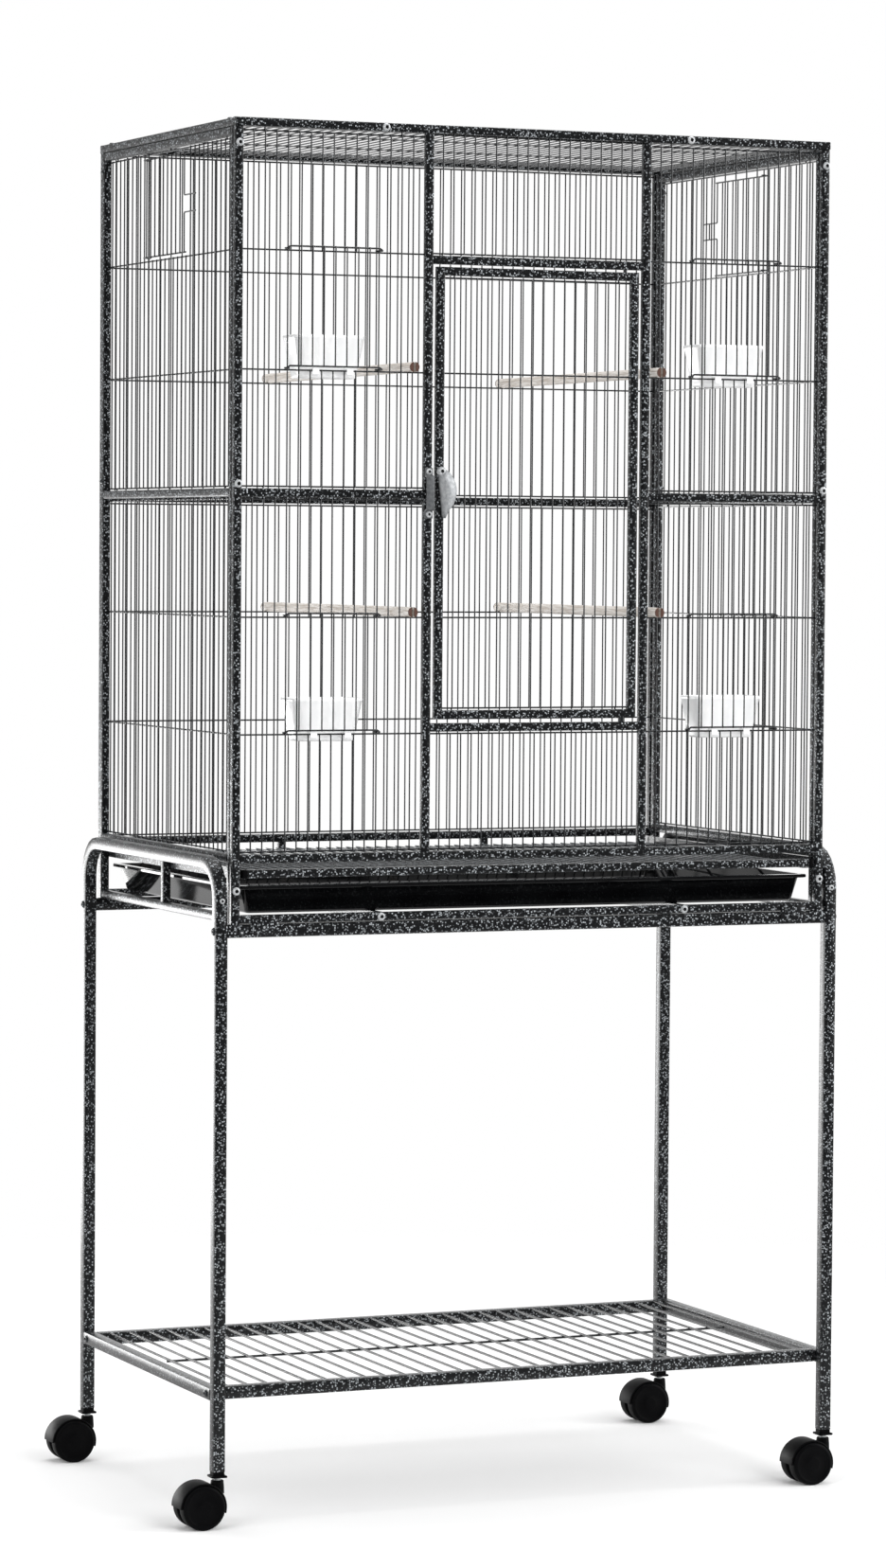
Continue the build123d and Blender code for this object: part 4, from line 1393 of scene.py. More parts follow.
@dataclass
class Stand:
    """Rolling stand: leg frames, ties, cross bars and shelf."""

    size: StandSize
    tubes: Sweep
    wires: Sweep
    shelf_pitch: float = 24.85
    shelf_reach: int = 15
    shelf_wire: float = 3.0
    shelf_sides: int = 10

    def build(self) -> None:
        """Build the stand."""
        size = self.size
        inner_x = size.leg_x - size.half_tube
        inner_y = size.leg_y - size.half_tube
        for word, side in HANDS:
            x = side * size.leg_x
            front_leg = upright_run(x, -size.leg_y, size.leg_low, size.leg_top)
            back_leg = upright_run(x, size.leg_y, size.leg_top, size.leg_low)
            leg, node = [front_leg + back_leg], f"{word}_leg_frame"
            tube_piece(self.tubes, f"{word}_leg_tube", leg, size, Body.CAGE, node, size.bend)
        ties = [depth_run(side * size.leg_x, -inner_y, inner_y, size.tie_level) for side in SIDES]
        rails = [level_run(inner_x, side * size.shelf_y, size.tie_level) for side in SIDES]
        for name, paths, node in (
            ("tie_tubes", ties, "leg_ties"),
            ("front_bar_tube", [level_run(inner_x, -size.leg_y, size.bar_level)], "front_cross_bar"),
            ("back_bar_tube", [level_run(inner_x, size.leg_y, size.bar_level)], "back_cross_bar"),
            ("shelf_rail_tubes", rails, "shelf_rails"),
        ):
            tube_piece(self.tubes, name, paths, size, Body.CAGE, node)
        self.shelf()

    def shelf(self) -> None:
        """Build the shelf wires, flush with the rails, and the rod under them."""
        size = self.size
        end = size.shelf_y - size.half_tube
        level = size.tie_level + size.half_tube - self.shelf_wire / 2
        places = [self.shelf_pitch * count for count in range(-self.shelf_reach, self.shelf_reach + 1)]
        paths = [depth_run(x, -end, end, level) for x in places]
        paths.append(level_run(places[-1], 0.0, level - self.shelf_wire))
        made = self.wires.along("shelf_grid", paths, COATED_WIRE, self.shelf_wire, steps=self.shelf_sides)
        hand_over(made, COATED_WIRE, Body.CAGE, "shelf_wires")


@dataclass
class MainDoor:
    """Swinging front door: tube frame, mesh and its turning latch."""

    size: CageSize
    tubes: Sweep
    wires: Sweep
    screws: Fasteners
    half_width: float = 130.0
    low: float = 935.0
    high: float = 1462.0
    gaps: int = 17
    welds: tuple[int, ...] = (0, -1)
    keeper_low: float = 1169.0
    keeper_high: float = 1228.0
    keeper_sheet: float = 1.5
    keeper_rise: float = 6.5
    keeper_foot: float = 10.0
    keeper_round: float = 0.5
    keeper_screw_low: float = 4.8
    keeper_screw_high: float = 4.6
    keeper_screw_scale: float = 0.72
    latch_x: float = -125.0
    latch_z: float = 1224.0
    lever_gap: float = 1.6
    lever_edge: float = 2.3
    lever_top: float = 6.0
    lever_round: float = 0.6
    lever_shoulder: float = 0.05
    lever_crest: float = 0.96
    lever_angle: float = 28.0
    nose_centre: Flat = (-10.7, -23.0)
    nose_radius: float = 30.2
    nose_arc: Flat = (-55.0, 58.0)
    nose_steps: int = 14
    boss: float = 5.5
    boss_high: float = 2.5
    spacer: float = 3.6
    spacer_gap: float = 0.2
    shank: float = 1.9
    shank_over: float = 0.4
    pivot_seat: float = 2.6
    pivot_scale: float = 0.9

    def build(self) -> None:
        """Build the door and its latch."""
        self.frame()
        self.mesh()
        self.keeper()
        self.lever()
        self.pivot()

    def frame(self) -> None:
        """Build the tube frame of the door."""
        size = self.size
        y = size.front_line
        stile = self.half_width - size.half_tube
        paths = [upright_run(side * stile, y, self.low, self.high) for side in SIDES]
        for level in (self.low + size.half_tube, self.high - size.half_tube):
            paths.append(level_run(self.half_width - size.tube, y, level))
        tube_piece(self.tubes, "main_door_tubes", paths, size, Body.MAIN_DOOR, "main_door_frame")

    def mesh(self) -> None:
        """Build the mesh of the door."""
        size = self.size
        panel = WirePanel("main_door_mesh", Face.FRONT, size, self.wires)
        inner = self.half_width - size.tube
        rails = (self.low + size.tube, self.high - size.tube)
        panel.field(size.evenly(-inner, inner, self.gaps), (-inner, inner), rails, self.welds)
        for level in size.cross_levels[1:3]:
            panel.cross(level, -inner, inner)
        panel.build(Body.MAIN_DOOR)

    def keeper(self) -> None:
        """Build the bridged strap that the lever closes on, and its two screws."""
        size = self.size
        face = -size.half_depth
        rise, sheet, foot = self.keeper_rise, self.keeper_sheet, self.keeper_foot
        low, high = self.keeper_low, self.keeper_high
        outer = [(sheet, 0.0), (sheet, foot - sheet), (rise, foot)]
        inner = [(0.0, 0.0), (0.0, foot), (rise - sheet, foot + sheet)]
        outline = [(out, low + up) for out, up in outer]
        outline += [(out, high - up) for out, up in reversed(outer)]
        outline += [(out, high - up) for out, up in inner]
        outline += [(out, low + up) for out, up in reversed(inner)]
        maker = MeshMaker()
        left = -size.bay
        maker.slab(outline, left, left + size.tube, lambda out, up, across: (across, face - out, up))
        strap = maker.done("keeper_strap", STRAP_STEEL, self.keeper_round)
        hand_over(strap, STRAP_STEEL, Body.CAGE, "latch_keeper")
        middle = left + size.half_tube
        levels = (high - self.keeper_screw_high, low + self.keeper_screw_low)
        spots = [((middle, face - sheet, level), AHEAD) for level in levels]
        scale = self.keeper_screw_scale
        hand_over(self.screws.set_out("keeper_screws", spots, ZINC, scale), ZINC, Body.CAGE)
        # The socket pieces are near black as painted shade in the recess.
        wells = self.screws.set_out("keeper_screw_sockets", spots, SOCKET_SHADE, scale, FastenerPart.SOCKET)
        hand_over(wells, SOCKET_SHADE, Body.CAGE)

    def from_pivot(self, across: float, up: float, out: float) -> Point:
        """Place a point measured from the latch's pivot."""
        back = -self.size.half_depth - self.lever_gap
        return (self.latch_x + across, back - out, self.latch_z + up)

    def lever_outline(self) -> list[Flat]:
        """Draw the edge of the lever: a straight stem, a blunt tip and a round nose.

        Returns:
            Points measured from its pivot.
        """
        stem = [(-3.0, 0.0), (-3.0, -12.0), (1.0, -50.0)]
        tip = [(2.5, -54.5), (5.5, -54.5)]
        shoulder = [(4.0, 3.0)]
        nose = []
        first, last = self.nose_arc
        for step in range(1, self.nose_steps):
            angle = math.radians(first + (last - first) * step / self.nose_steps)
            across = self.nose_centre[0] + self.nose_radius * math.cos(angle)
            nose.append((across, self.nose_centre[1] + self.nose_radius * math.sin(angle)))
        return stem + tip + nose + shoulder

    @staticmethod
    def lever_ridge(up: float) -> Flat:
        """Find the point of the lever's ridge nearest to a height on its edge.

        Args:
            up: Height on the edge, from the pivot.

        Returns:
            Point of the ridge, which runs straight from head to knee and from knee to foot.
        """
        head, knee, foot = (1.0, -5.0), (8.0, -22.0), (3.5, -51.0)
        level = min(max(up, foot[1]), head[1])
        first, last = (head, knee) if level > knee[1] else (knee, foot)
        share = (level - first[1]) / (last[1] - first[1])
        return (first[0] + (last[0] - first[0]) * share, level)

    def lever(self) -> None:
        """Build the cast thumb lever, whose rings lean from its edge to its ridge by a share."""
        maker = MeshMaker()
        rings = []
        for share, out in (
            (0.0, 0.0),
            (0.0, self.lever_edge - self.lever_round),
            (self.lever_shoulder, self.lever_edge),
            (self.lever_crest, self.lever_top),
        ):
            ring = []
            for across, up in self.lever_outline():
                ridge, level = self.lever_ridge(up)
                leant = (across + (ridge - across) * share, up + (level - up) * share)
                ring.append(self.from_pivot(*leant, out))
            rings.append(ring)
        maker.loft(rings)
        boss_edge = self.boss_high - self.lever_round
        boss = ((self.boss, 0.0), (self.boss, boss_edge), (self.boss - self.lever_round, self.boss_high))
        maker.turn(boss, self.from_pivot, steps=28)
        made = maker.done("thumb_lever", LEVER_ZINC, angle=self.lever_angle)
        hand_over(made, LEVER_ZINC, Body.LATCH, "latch_lever")

    def pivot(self) -> None:
        """Build the screw that the lever turns on."""
        maker = MeshMaker()
        back = -self.lever_gap
        maker.turn(((self.spacer, back), (self.spacer, -self.spacer_gap)), self.from_pivot, steps=24)
        shank_end = self.lever_edge + self.shank_over
        maker.turn(((self.shank, back), (self.shank, shank_end)), self.from_pivot, steps=16)
        spacer = maker.done("pivot_spacer", ZINC)
        spot = [(self.from_pivot(0.0, 0.0, self.pivot_seat), AHEAD)]
        scale = self.pivot_scale
        head = self.screws.set_out("pivot_head", spot, ZINC, scale)
        made = merge("latch_screw", [spacer, head], ZINC, Fasteners.SOFT_ANGLE)
        hand_over(made, ZINC, Body.MAIN_DOOR, "latch_pivot_screw")
        # The socket piece is near black as painted shade in the recess.
        well = self.screws.set_out("latch_screw_socket", spot, SOCKET_SHADE, scale, FastenerPart.SOCKET)
        hand_over(well, SOCKET_SHADE, Body.MAIN_DOOR)


@dataclass
class FeederDoor:
    """Wire gate that lifts on two guide wires of the front mesh."""

    size: CageSize
    wires: Sweep
    node: str
    side: int
    over: float
    under: float
    gap: float = 5.3
    wire: float = 2.2
    hook_gap: float = 0.7
    hook_bend: float = 1.6
    finger: float = 5.0
    finger_gap: float = 0.5
    seat: float = 0.1
    lift: float = 2.4
    slope: float = 4.0

    def rail(self, level: float) -> Path:
        """Lay out one rail, bent down at both ends into its hooks.

        Args:
            level: Lowest face of the hooks.

        Returns:
            Centre line from finger to finger.
        """
        size = self.size
        half_wire = self.wire / 2
        middle = self.side * size.feeder_x
        mesh_front = -size.half_depth + size.setback
        front = mesh_front - self.gap + half_wire
        back = mesh_front + size.wire + self.finger_gap + half_wire
        hook = size.section_step * size.guide_reach + size.wire / 2 + self.hook_gap
        reach = hook + half_wire
        z = level + half_wire
        half = [
            (hook - self.finger, back, z),
            (reach, back, z),
            (reach, front, z),
            (reach - self.slope, front, z + self.lift),
        ]
        left = [(middle - across, y, height) for across, y, height in half]
        right = [(middle + across, y, height) for across, y, height in reversed(half)]
        return left + right

    def build(self) -> None:
        """Build the gate."""
        size = self.size
        middle = self.side * size.feeder_x
        low = self.under + size.rung / 2 + self.seat
        high = self.over + size.rung / 2 + self.seat
        rails = [self.rail(low), self.rail(high)]
        stout = self.wires.along(self.node + "_rails", rails, COATED_WIRE, self.wire, bend=self.hook_bend)
        y = -size.half_depth + size.setback - self.gap - size.wire / 2
        bars = []
        for count in range(1 - size.guide_reach, size.guide_reach):
            x = middle + size.section_step * count
            bars.append(upright_run(x, y, low + self.lift, high + self.lift + self.wire))
        fine = self.wires.along(self.node + "_bars", bars, COATED_WIRE, size.wire)
        hand_over(merge(self.node + "_gate", [stout, fine], COATED_WIRE), COATED_WIRE, self.node, self.node)


@dataclass
class NestDoor:
    """Wire gate high on one side, hung by two eyes on a wire of the side mesh."""

    size: CageSize
    wires: Sweep
    node: str
    side: int
    hinge_count: int
    latch_count: int
    out: float = 384.0
    low: float = 1480.0
    high: float = 1596.5
    jog_low: float = 1526.5
    jog_high: float = 1546.5
    jog: float = 22.0
    tail: float = 38.0
    bend: float = 2.0
    eye: float = 2.75
    eye_wire: float = 1.7
    eye_steps: int = 16

    def bars(self, latch: float, away: int) -> list[Path]:
        """Lay out the upright wires and the jogged latch wire.

        Args:
            latch: Place of the latch side, front to back.
            away: Direction from the hinge to the latch.

        Returns:
            Centre lines of the wires.
        """
        size = self.size
        x = self.side * self.out
        low, high = self.low - size.rung / 2, self.high + size.rung / 2
        inner = size.side_places[size.nest_first : size.nest_last - 1]
        paths = [upright_run(x, y, low, high) for y in inner]
        tip = latch + away * self.tail
        for end, level in ((low, self.jog_low), (high, self.jog_high)):
            paths.append([(x, latch, end), (x, latch, level), (x, tip, level)])
        paths.append(upright_run(x, latch + away * self.jog, self.jog_low, self.jog_high))
        return paths

    def eye_loop(self, start: float, hinge: float, level: float) -> Path:
        """Lay out one eye round the hinge wire.

        Args:
            start: Place of the rail that the eye is bent from.
            hinge: Place of the hinge wire, front to back.
            level: Height of the eye.

        Returns:
            Centre line from the rail once round the wire.
        """
        size = self.size
        pin = self.side * (size.half_width - size.setback - size.wire / 2)
        ring: Path = [(start, hinge, level)]
        for step in range(self.eye_steps + 1):
            angle = math.tau * step / self.eye_steps
            across = self.side * self.eye * math.cos(angle)
            ring.append((pin + across, hinge + self.eye * math.sin(angle), level))
        return ring

    def build(self) -> None:
        """Build the gate."""
        size = self.size
        hinge = size.side_places[self.hinge_count - 1]
        latch = size.side_places[self.latch_count - 1]
        away = 1 if latch > hinge else -1
        levels = (self.low, self.high)
        bars = self.bars(latch, away)
        fine = self.wires.along(self.node + "_fine", bars, COATED_WIRE, size.wire, bend=self.bend)
        inside = self.side * (self.out - size.wire / 2 - size.rung / 2)
        rails = [depth_run(inside, hinge, latch, level) for level in levels]
        stout = self.wires.along(self.node + "_stout", rails, COATED_WIRE, size.rung)
        eyes = [self.eye_loop(inside, hinge, level) for level in levels]
        loops = self.wires.along(self.node + "_eyes", eyes, COATED_WIRE, self.eye_wire)
        gate = merge(self.node + "_gate", [fine, stout, loops], COATED_WIRE)
        hand_over(gate, COATED_WIRE, self.node, self.node)


@dataclass
class FoodCup:
    """Moulded cup that hangs from the cross wire behind a feeder door."""

    size: CageSize
    node: str
    side: int
    level: float
    width: float = 88.0
    depth: float = 52.0
    high: float = 50.0
    wall: float = 1.8
    taper: float = 8.0
    corner: float = 9.0
    least_corner: float = 3.0
    foot_round: float = 2.5
    foot_edge: float = 0.7
    foot_rise: float = 3.0
    rim_band: float = 4.0
    edge: float = 0.6
    inner_edge: float = 0.5
    inner_round: float = 2.0
    drop: float = 8.5
    wire_gap: float = 0.7
    hook_at: float = 21.3
    hook_width: float = 8.0
    hook_sheet: float = 2.0
    hook_lip: float = 5.0
    hook_gap: float = 0.5
    hook_root: float = 0.5
    soft_angle: float = 50.0

    def build(self) -> None:
        """Build the cup with its hooks."""
        size = self.size
        middle = self.side * size.feeder_x
        rung_back = -size.half_depth + size.setback + size.wire + size.rung
        front = rung_back + self.wire_gap
        spot = (middle, front + self.depth / 2)
        low = self.level - self.drop
        maker = MeshMaker()
        rings = []
        for inset, height in self.profile():
            half = (self.width / 2 - inset, self.depth / 2 - inset)
            radius = max(self.corner - max(inset - self.taper, 0.0), self.least_corner)
            rings.append(rounded_ring(spot, half, radius, low + height))
        maker.loft(rings)
        seat = self.level + size.rung / 2
        root = front + self.taper * (1 - self.drop / self.high) + self.hook_root
        nose_back = rung_back - size.rung - self.hook_gap
        nose = nose_back - self.hook_sheet / 2
        outline = [
            (nose, seat - self.hook_lip),
            (nose, seat + self.hook_sheet),
            (root, seat + self.hook_sheet),
            (root, seat),
            (nose_back, seat),
            (nose_back, seat - self.hook_lip),
        ]
        for hand in SIDES:
            left = middle + hand * self.hook_at - self.hook_width / 2
            maker.slab(outline, left, left + self.hook_width, lambda y, z, x: (x, y, z))
        made = maker.done(self.node + "_moulding", CUP_PLASTIC, angle=self.soft_angle)
        hand_over(made, CUP_PLASTIC, Body.CAGE, self.node)

    def profile(self) -> list[Flat]:
        """Draw the wall, up the outside, over the rim and down the inside.

        Returns:
            Inset and height of each ring.
        """
        slope = self.taper / self.high
        high, wall, band, edge = self.high, self.wall, self.rim_band, self.edge
        foot = [
            (self.taper + self.foot_round, 0.0),
            (self.taper + edge, self.foot_edge),
            (self.taper - self.foot_rise * slope, self.foot_rise),
        ]
        outside = [(slope * band, high - band), (0.0, high - band + edge), (0.0, high - edge)]
        rim = [(edge, high), (wall - self.inner_edge, high), (wall, high - self.inner_edge)]
        inside = [(self.taper + wall - band * slope, band), (self.taper + wall + self.inner_round, wall)]
        return foot + outside + rim + inside


@dataclass
class TrayAndGrate:
    """Pull-out litter tray and the wire grate above it."""

    size: CageSize
    tubes: Sweep
    wires: Sweep
    low: float = 710.05
    high: float = 743.0
    half_width: float = 369.0
    front: float = -225.0
    back: float = 220.0
    rim: float = 7.0
    taper: float = 8.0
    sheet: float = 2.0
    corner: float = 8.0
    corner_share: float = 0.2
    least_corner: float = 4.0
    bottom_round: float = 3.0
    draft: float = 1.0
    edge: float = 0.8
    fillet: float = 1.2
    lip_round: float = 0.5
    tray_angle: float = 40.0
    grate_half: float = 369.0
    grate_back: float = 224.0
    grate_level: float = 757.5
    grate_gaps: int = 54
    rod: float = 4.0
    rod_level: float = 754.1
    rod_places: Flat = (-78.0, 77.0)
    rod_bend: float = 5.0
    rod_sides: int = 10
    plug: float = 6.0
    plug_round: float = 1.0

    def build(self) -> None:
        """Build tray and grate."""
        self.tray()
        self.grate_rail()
        self.grate()

    def tray_profile(self) -> list[Flat]:
        """Draw the tray's wall: up the outside, round the turned-down rim and down the inside.

        Returns:
            Inset and height of each ring.
        """
        low, high, sheet = self.low, self.high, self.sheet
        wall, foot = self.rim, self.rim + self.taper
        under, lip = high - sheet, high - 2 * sheet
        edge, fillet, bottom = self.edge, self.fillet, self.bottom_round
        outside = [(foot + bottom, low), (foot + edge, low + edge), (foot - self.draft, low + bottom)]
        neck = [(wall + fillet / 2, under - fillet), (wall - fillet / 2, under), (sheet, under)]
        hem = [(sheet, lip), (self.lip_round, lip), (0.0, lip + self.lip_round)]
        rim = [(0.0, high - edge), (edge, high)]
        inside = [
            (wall + sheet - fillet, high),
            (wall + sheet, high - fillet),
            (foot + sheet - self.draft, low + sheet + bottom),
            (foot + sheet + bottom, low + sheet),
        ]
        return outside + neck + hem + rim + inside

    def tray(self) -> None:
        """Build the moulded tray."""
        spot = (0.0, (self.front + self.back) / 2)
        half = (self.half_width, (self.back - self.front) / 2)
        rings = []
        for inset, level in self.tray_profile():
            radius = max(self.corner - inset * self.corner_share, self.least_corner)
            rings.append(rounded_ring(spot, (half[0] - inset, half[1] - inset), radius, level))
        maker = MeshMaker()
        maker.loft(rings)
        made = maker.done("litter_tray", TRAY_PLASTIC, angle=self.tray_angle)
        hand_over(made, TRAY_PLASTIC, Body.TRAY, "tray")

    def grate_rail(self) -> None:
        """Build the grate's front rail with its end plugs."""
        size = self.size
        y = size.front_line
        rail_half = self.grate_half - self.plug
        rail = [level_run(rail_half, y, self.grate_level)]
        tube_piece(self.tubes, "grate_rail", rail, size, Body.GRATE, "grate_frame")
        maker = MeshMaker()
        half = size.half_tube
        square = [(-half, -half), (half, -half), (half, half), (-half, half)]
        for side in SIDES:
            first, last = sorted((side * rail_half, side * self.grate_half))
            maker.slab(square, first, last, lambda deep, up, x: (x, y + deep, self.grate_level + up))
        plugs = maker.done("grate_rail_plugs", CASTER_PLASTIC, self.plug_round)
        hand_over(plugs, CASTER_PLASTIC, Body.GRATE)

    def grate(self) -> None:
        """Build the grate's rods and wires."""
        size = self.size
        front = -size.half_depth + size.tube
        side_x = self.grate_half - self.rod / 2
        back = self.grate_back - self.rod / 2
        level = self.rod_level
        left = depth_run(-side_x, front, back, level)
        right = depth_run(side_x, back, front, level)
        rods = [left + right] + [level_run(side_x, place, level) for place in self.rod_places]
        bend, sides = self.rod_bend, self.rod_sides
        stout = self.wires.along("grate_rods", rods, GRATE_WIRE, self.rod, bend=bend, steps=sides)
        top = level + self.rod / 2 + size.wire / 2
        span = self.grate_half - self.rod
        places = size.evenly(-span, span, self.grate_gaps)
        lines = [depth_run(x, front, self.grate_back, top) for x in places]
        fine = self.wires.along("grate_lines", lines, GRATE_WIRE, size.wire)
        hand_over(merge("grate_wires", [stout, fine], GRATE_WIRE), GRATE_WIRE, Body.GRATE, "grate_mesh")


@dataclass
class Caster:
    """Twin-wheel caster: hood, web, boss and stem, with a wheel each side.

    Each edge is a row of steps: how far back from the full radius, and how far in from the face.
    The hub cap gives the radius itself, and the boss how much wider it is, and how far below its top.
    """

    corner: str
    x: float
    y: float
    trail: float = 22.0
    wheel_radius: float = 26.0
    wheel_bore: float = 3.1
    wheel_inner: float = 4.2
    wheel_outer: float = 20.0
    inner_edge: tuple[Flat, ...] = ((1.2, 0.0), (0.3, 0.4), (0.0, 1.4))
    tread_edge: tuple[Flat, ...] = ((0.0, 3.4), (0.4, 1.9), (1.6, 0.7), (3.4, 0.1), (4.4, 0.0))
    dish_edge: tuple[Flat, ...] = ((5.0, 0.4), (5.4, 0.6))
    hub_cap: tuple[Flat, ...] = ((8.4, 0.6), (8.0, 0.3), (7.4, 0.2), (2.0, 0.2))
    hood_radius: float = 28.5
    hood_bore: float = 26.8
    hood_half: float = 17.0
    hood_edge: tuple[Flat, ...] = ((1.0, 0.0), (0.3, 0.4), (0.0, 1.2))
    hood_steps: int = 36
    web_half: float = 3.5
    web_overlap: float = 0.4
    axle: float = 8.0
    boss: float = 7.5
    boss_top: float = 55.0
    boss_flare: tuple[Flat, ...] = ((0.8, 15.0), (0.6, 8.0), (0.0, 1.0), (-0.8, 0.0))
    stem: float = 4.0
    stem_top: float = 96.0
    chamfer: float = 0.8
    stem_overlap: float = 2.0
    first_angle: float = -15.0
    last_angle: float = 180.0
    soft_angle: float = 45.0

    def build(self) -> None:
        """Build hood, stem and wheels."""
        self.hood()
        self.pin()
        self.wheel("near", -1)
        self.wheel("far", 1)

    def around(self, radius: float, degrees: float, deep: float) -> Point:
        """Place a point by its radius and angle round the axle."""
        angle = math.radians(degrees)
        return self.on_axle(radius * math.cos(angle), radius * math.sin(angle), deep)

    def on_axle(self, across: float, up: float, deep: float) -> Point:
        """Place a point measured from the middle of the axle."""
        return (self.x - self.trail + across, self.y + deep, self.wheel_radius + up)

    def on_stem(self, across: float, back: float, height: float) -> Point:
        """Place a point measured from the stem's axis and the floor."""
        return (self.x + across, self.y + back, height)

    def hood(self) -> None:
        """Build the hood with its web and boss."""
        maker = MeshMaker()
        half = [(self.hood_bore, 0.0)]
        half += [(self.hood_radius - back, deep) for back, deep in self.hood_edge]
        section = [(radius, deep - self.hood_half) for radius, deep in half]
        section += [(radius, self.hood_half - deep) for radius, deep in reversed(half)]
        step = (self.last_angle - self.first_angle) / self.hood_steps
        angles = [self.first_angle + step * count for count in range(self.hood_steps + 1)]
        maker.loft([[self.around(radius, a, deep) for radius, deep in section] for a in angles])
        web = self.hood_bore + self.web_overlap
        faces = (-self.web_half, self.web_half)
        maker.loft([[self.around(web, a, deep) for a in angles] for deep in faces])
        maker.turn([(self.axle, deep) for deep in faces], self.on_axle, steps=24)
        boss = [(self.boss + wider, self.boss_top - below) for wider, below in self.boss_flare]
        maker.turn(boss, self.on_stem, steps=28)
        body = f"{self.corner}_caster"
        made = maker.done(f"{self.corner}_hood", CASTER_PLASTIC, angle=self.soft_angle)
        hand_over(made, CASTER_PLASTIC, body, body)

    def pin(self) -> None:
        """Build the stem."""
        maker = MeshMaker()
        shaft = (
            (self.stem, self.boss_top - self.stem_overlap),
            (self.stem, self.stem_top - self.chamfer),
            (self.stem - self.chamfer, self.stem_top),
        )
        maker.turn(shaft, self.on_stem, steps=20)
        hand_over(maker.done(f"{self.corner}_stem", ZINC), ZINC, f"{self.corner}_caster")

    def wheel(self, word: str, hand: int) -> None:
        """Build one wheel with a dished face and a raised hub cap.

        Args:
            word: near or far.
            hand: -1 for the near wheel, 1 for the far one.
        """
        rim, inner, outer = self.wheel_radius, self.wheel_inner, self.wheel_outer
        profile = [(self.wheel_bore, inner)]
        profile += [(rim - back, inner + deep) for back, deep in self.inner_edge]
        profile += [(rim - back, outer - deep) for back, deep in self.tread_edge + self.dish_edge]
        profile += [(radius, outer - deep) for radius, deep in self.hub_cap]
        maker = MeshMaker()
        maker.turn(profile, lambda across, up, deep: self.on_axle(across, up, hand * deep), steps=48)
        body = f"{self.corner}_{word}_wheel"
        made = maker.done(f"{self.corner}_{word}_tread", CASTER_PLASTIC, angle=self.soft_angle)
        hand_over(made, CASTER_PLASTIC, body, body)


@dataclass
class CasterSockets:
    """Plastic plugs in the leg ends, each with a collar and a flange."""

    size: StandSize
    low: float = 58.3
    flange: float = 19.0
    thick: float = 2.4
    collar: float = 14.0
    corner: float = 2.0
    edge: float = 0.5
    soft_angle: float = 45.0

    def build(self) -> None:
        """Build the four sockets."""
        maker = MeshMaker()
        wide, neck = self.flange / 2, self.collar / 2
        over = self.low + self.thick
        profile = (
            (wide - self.edge, self.low),
            (wide, self.low + self.edge),
            (wide, over - self.edge),
            (wide - self.edge, over),
            (neck, over),
            (neck, self.size.leg_low),
        )
        for side in SIDES:
            for end in SIDES:
                spot = (side * self.size.leg_x, end * self.size.leg_y)
                maker.loft([rounded_ring(spot, (half, half), self.corner, level) for half, level in profile])
        made = maker.done("leg_end_sockets", CASTER_PLASTIC, angle=self.soft_angle)
        hand_over(made, CASTER_PLASTIC, Body.CAGE, "caster_sockets")


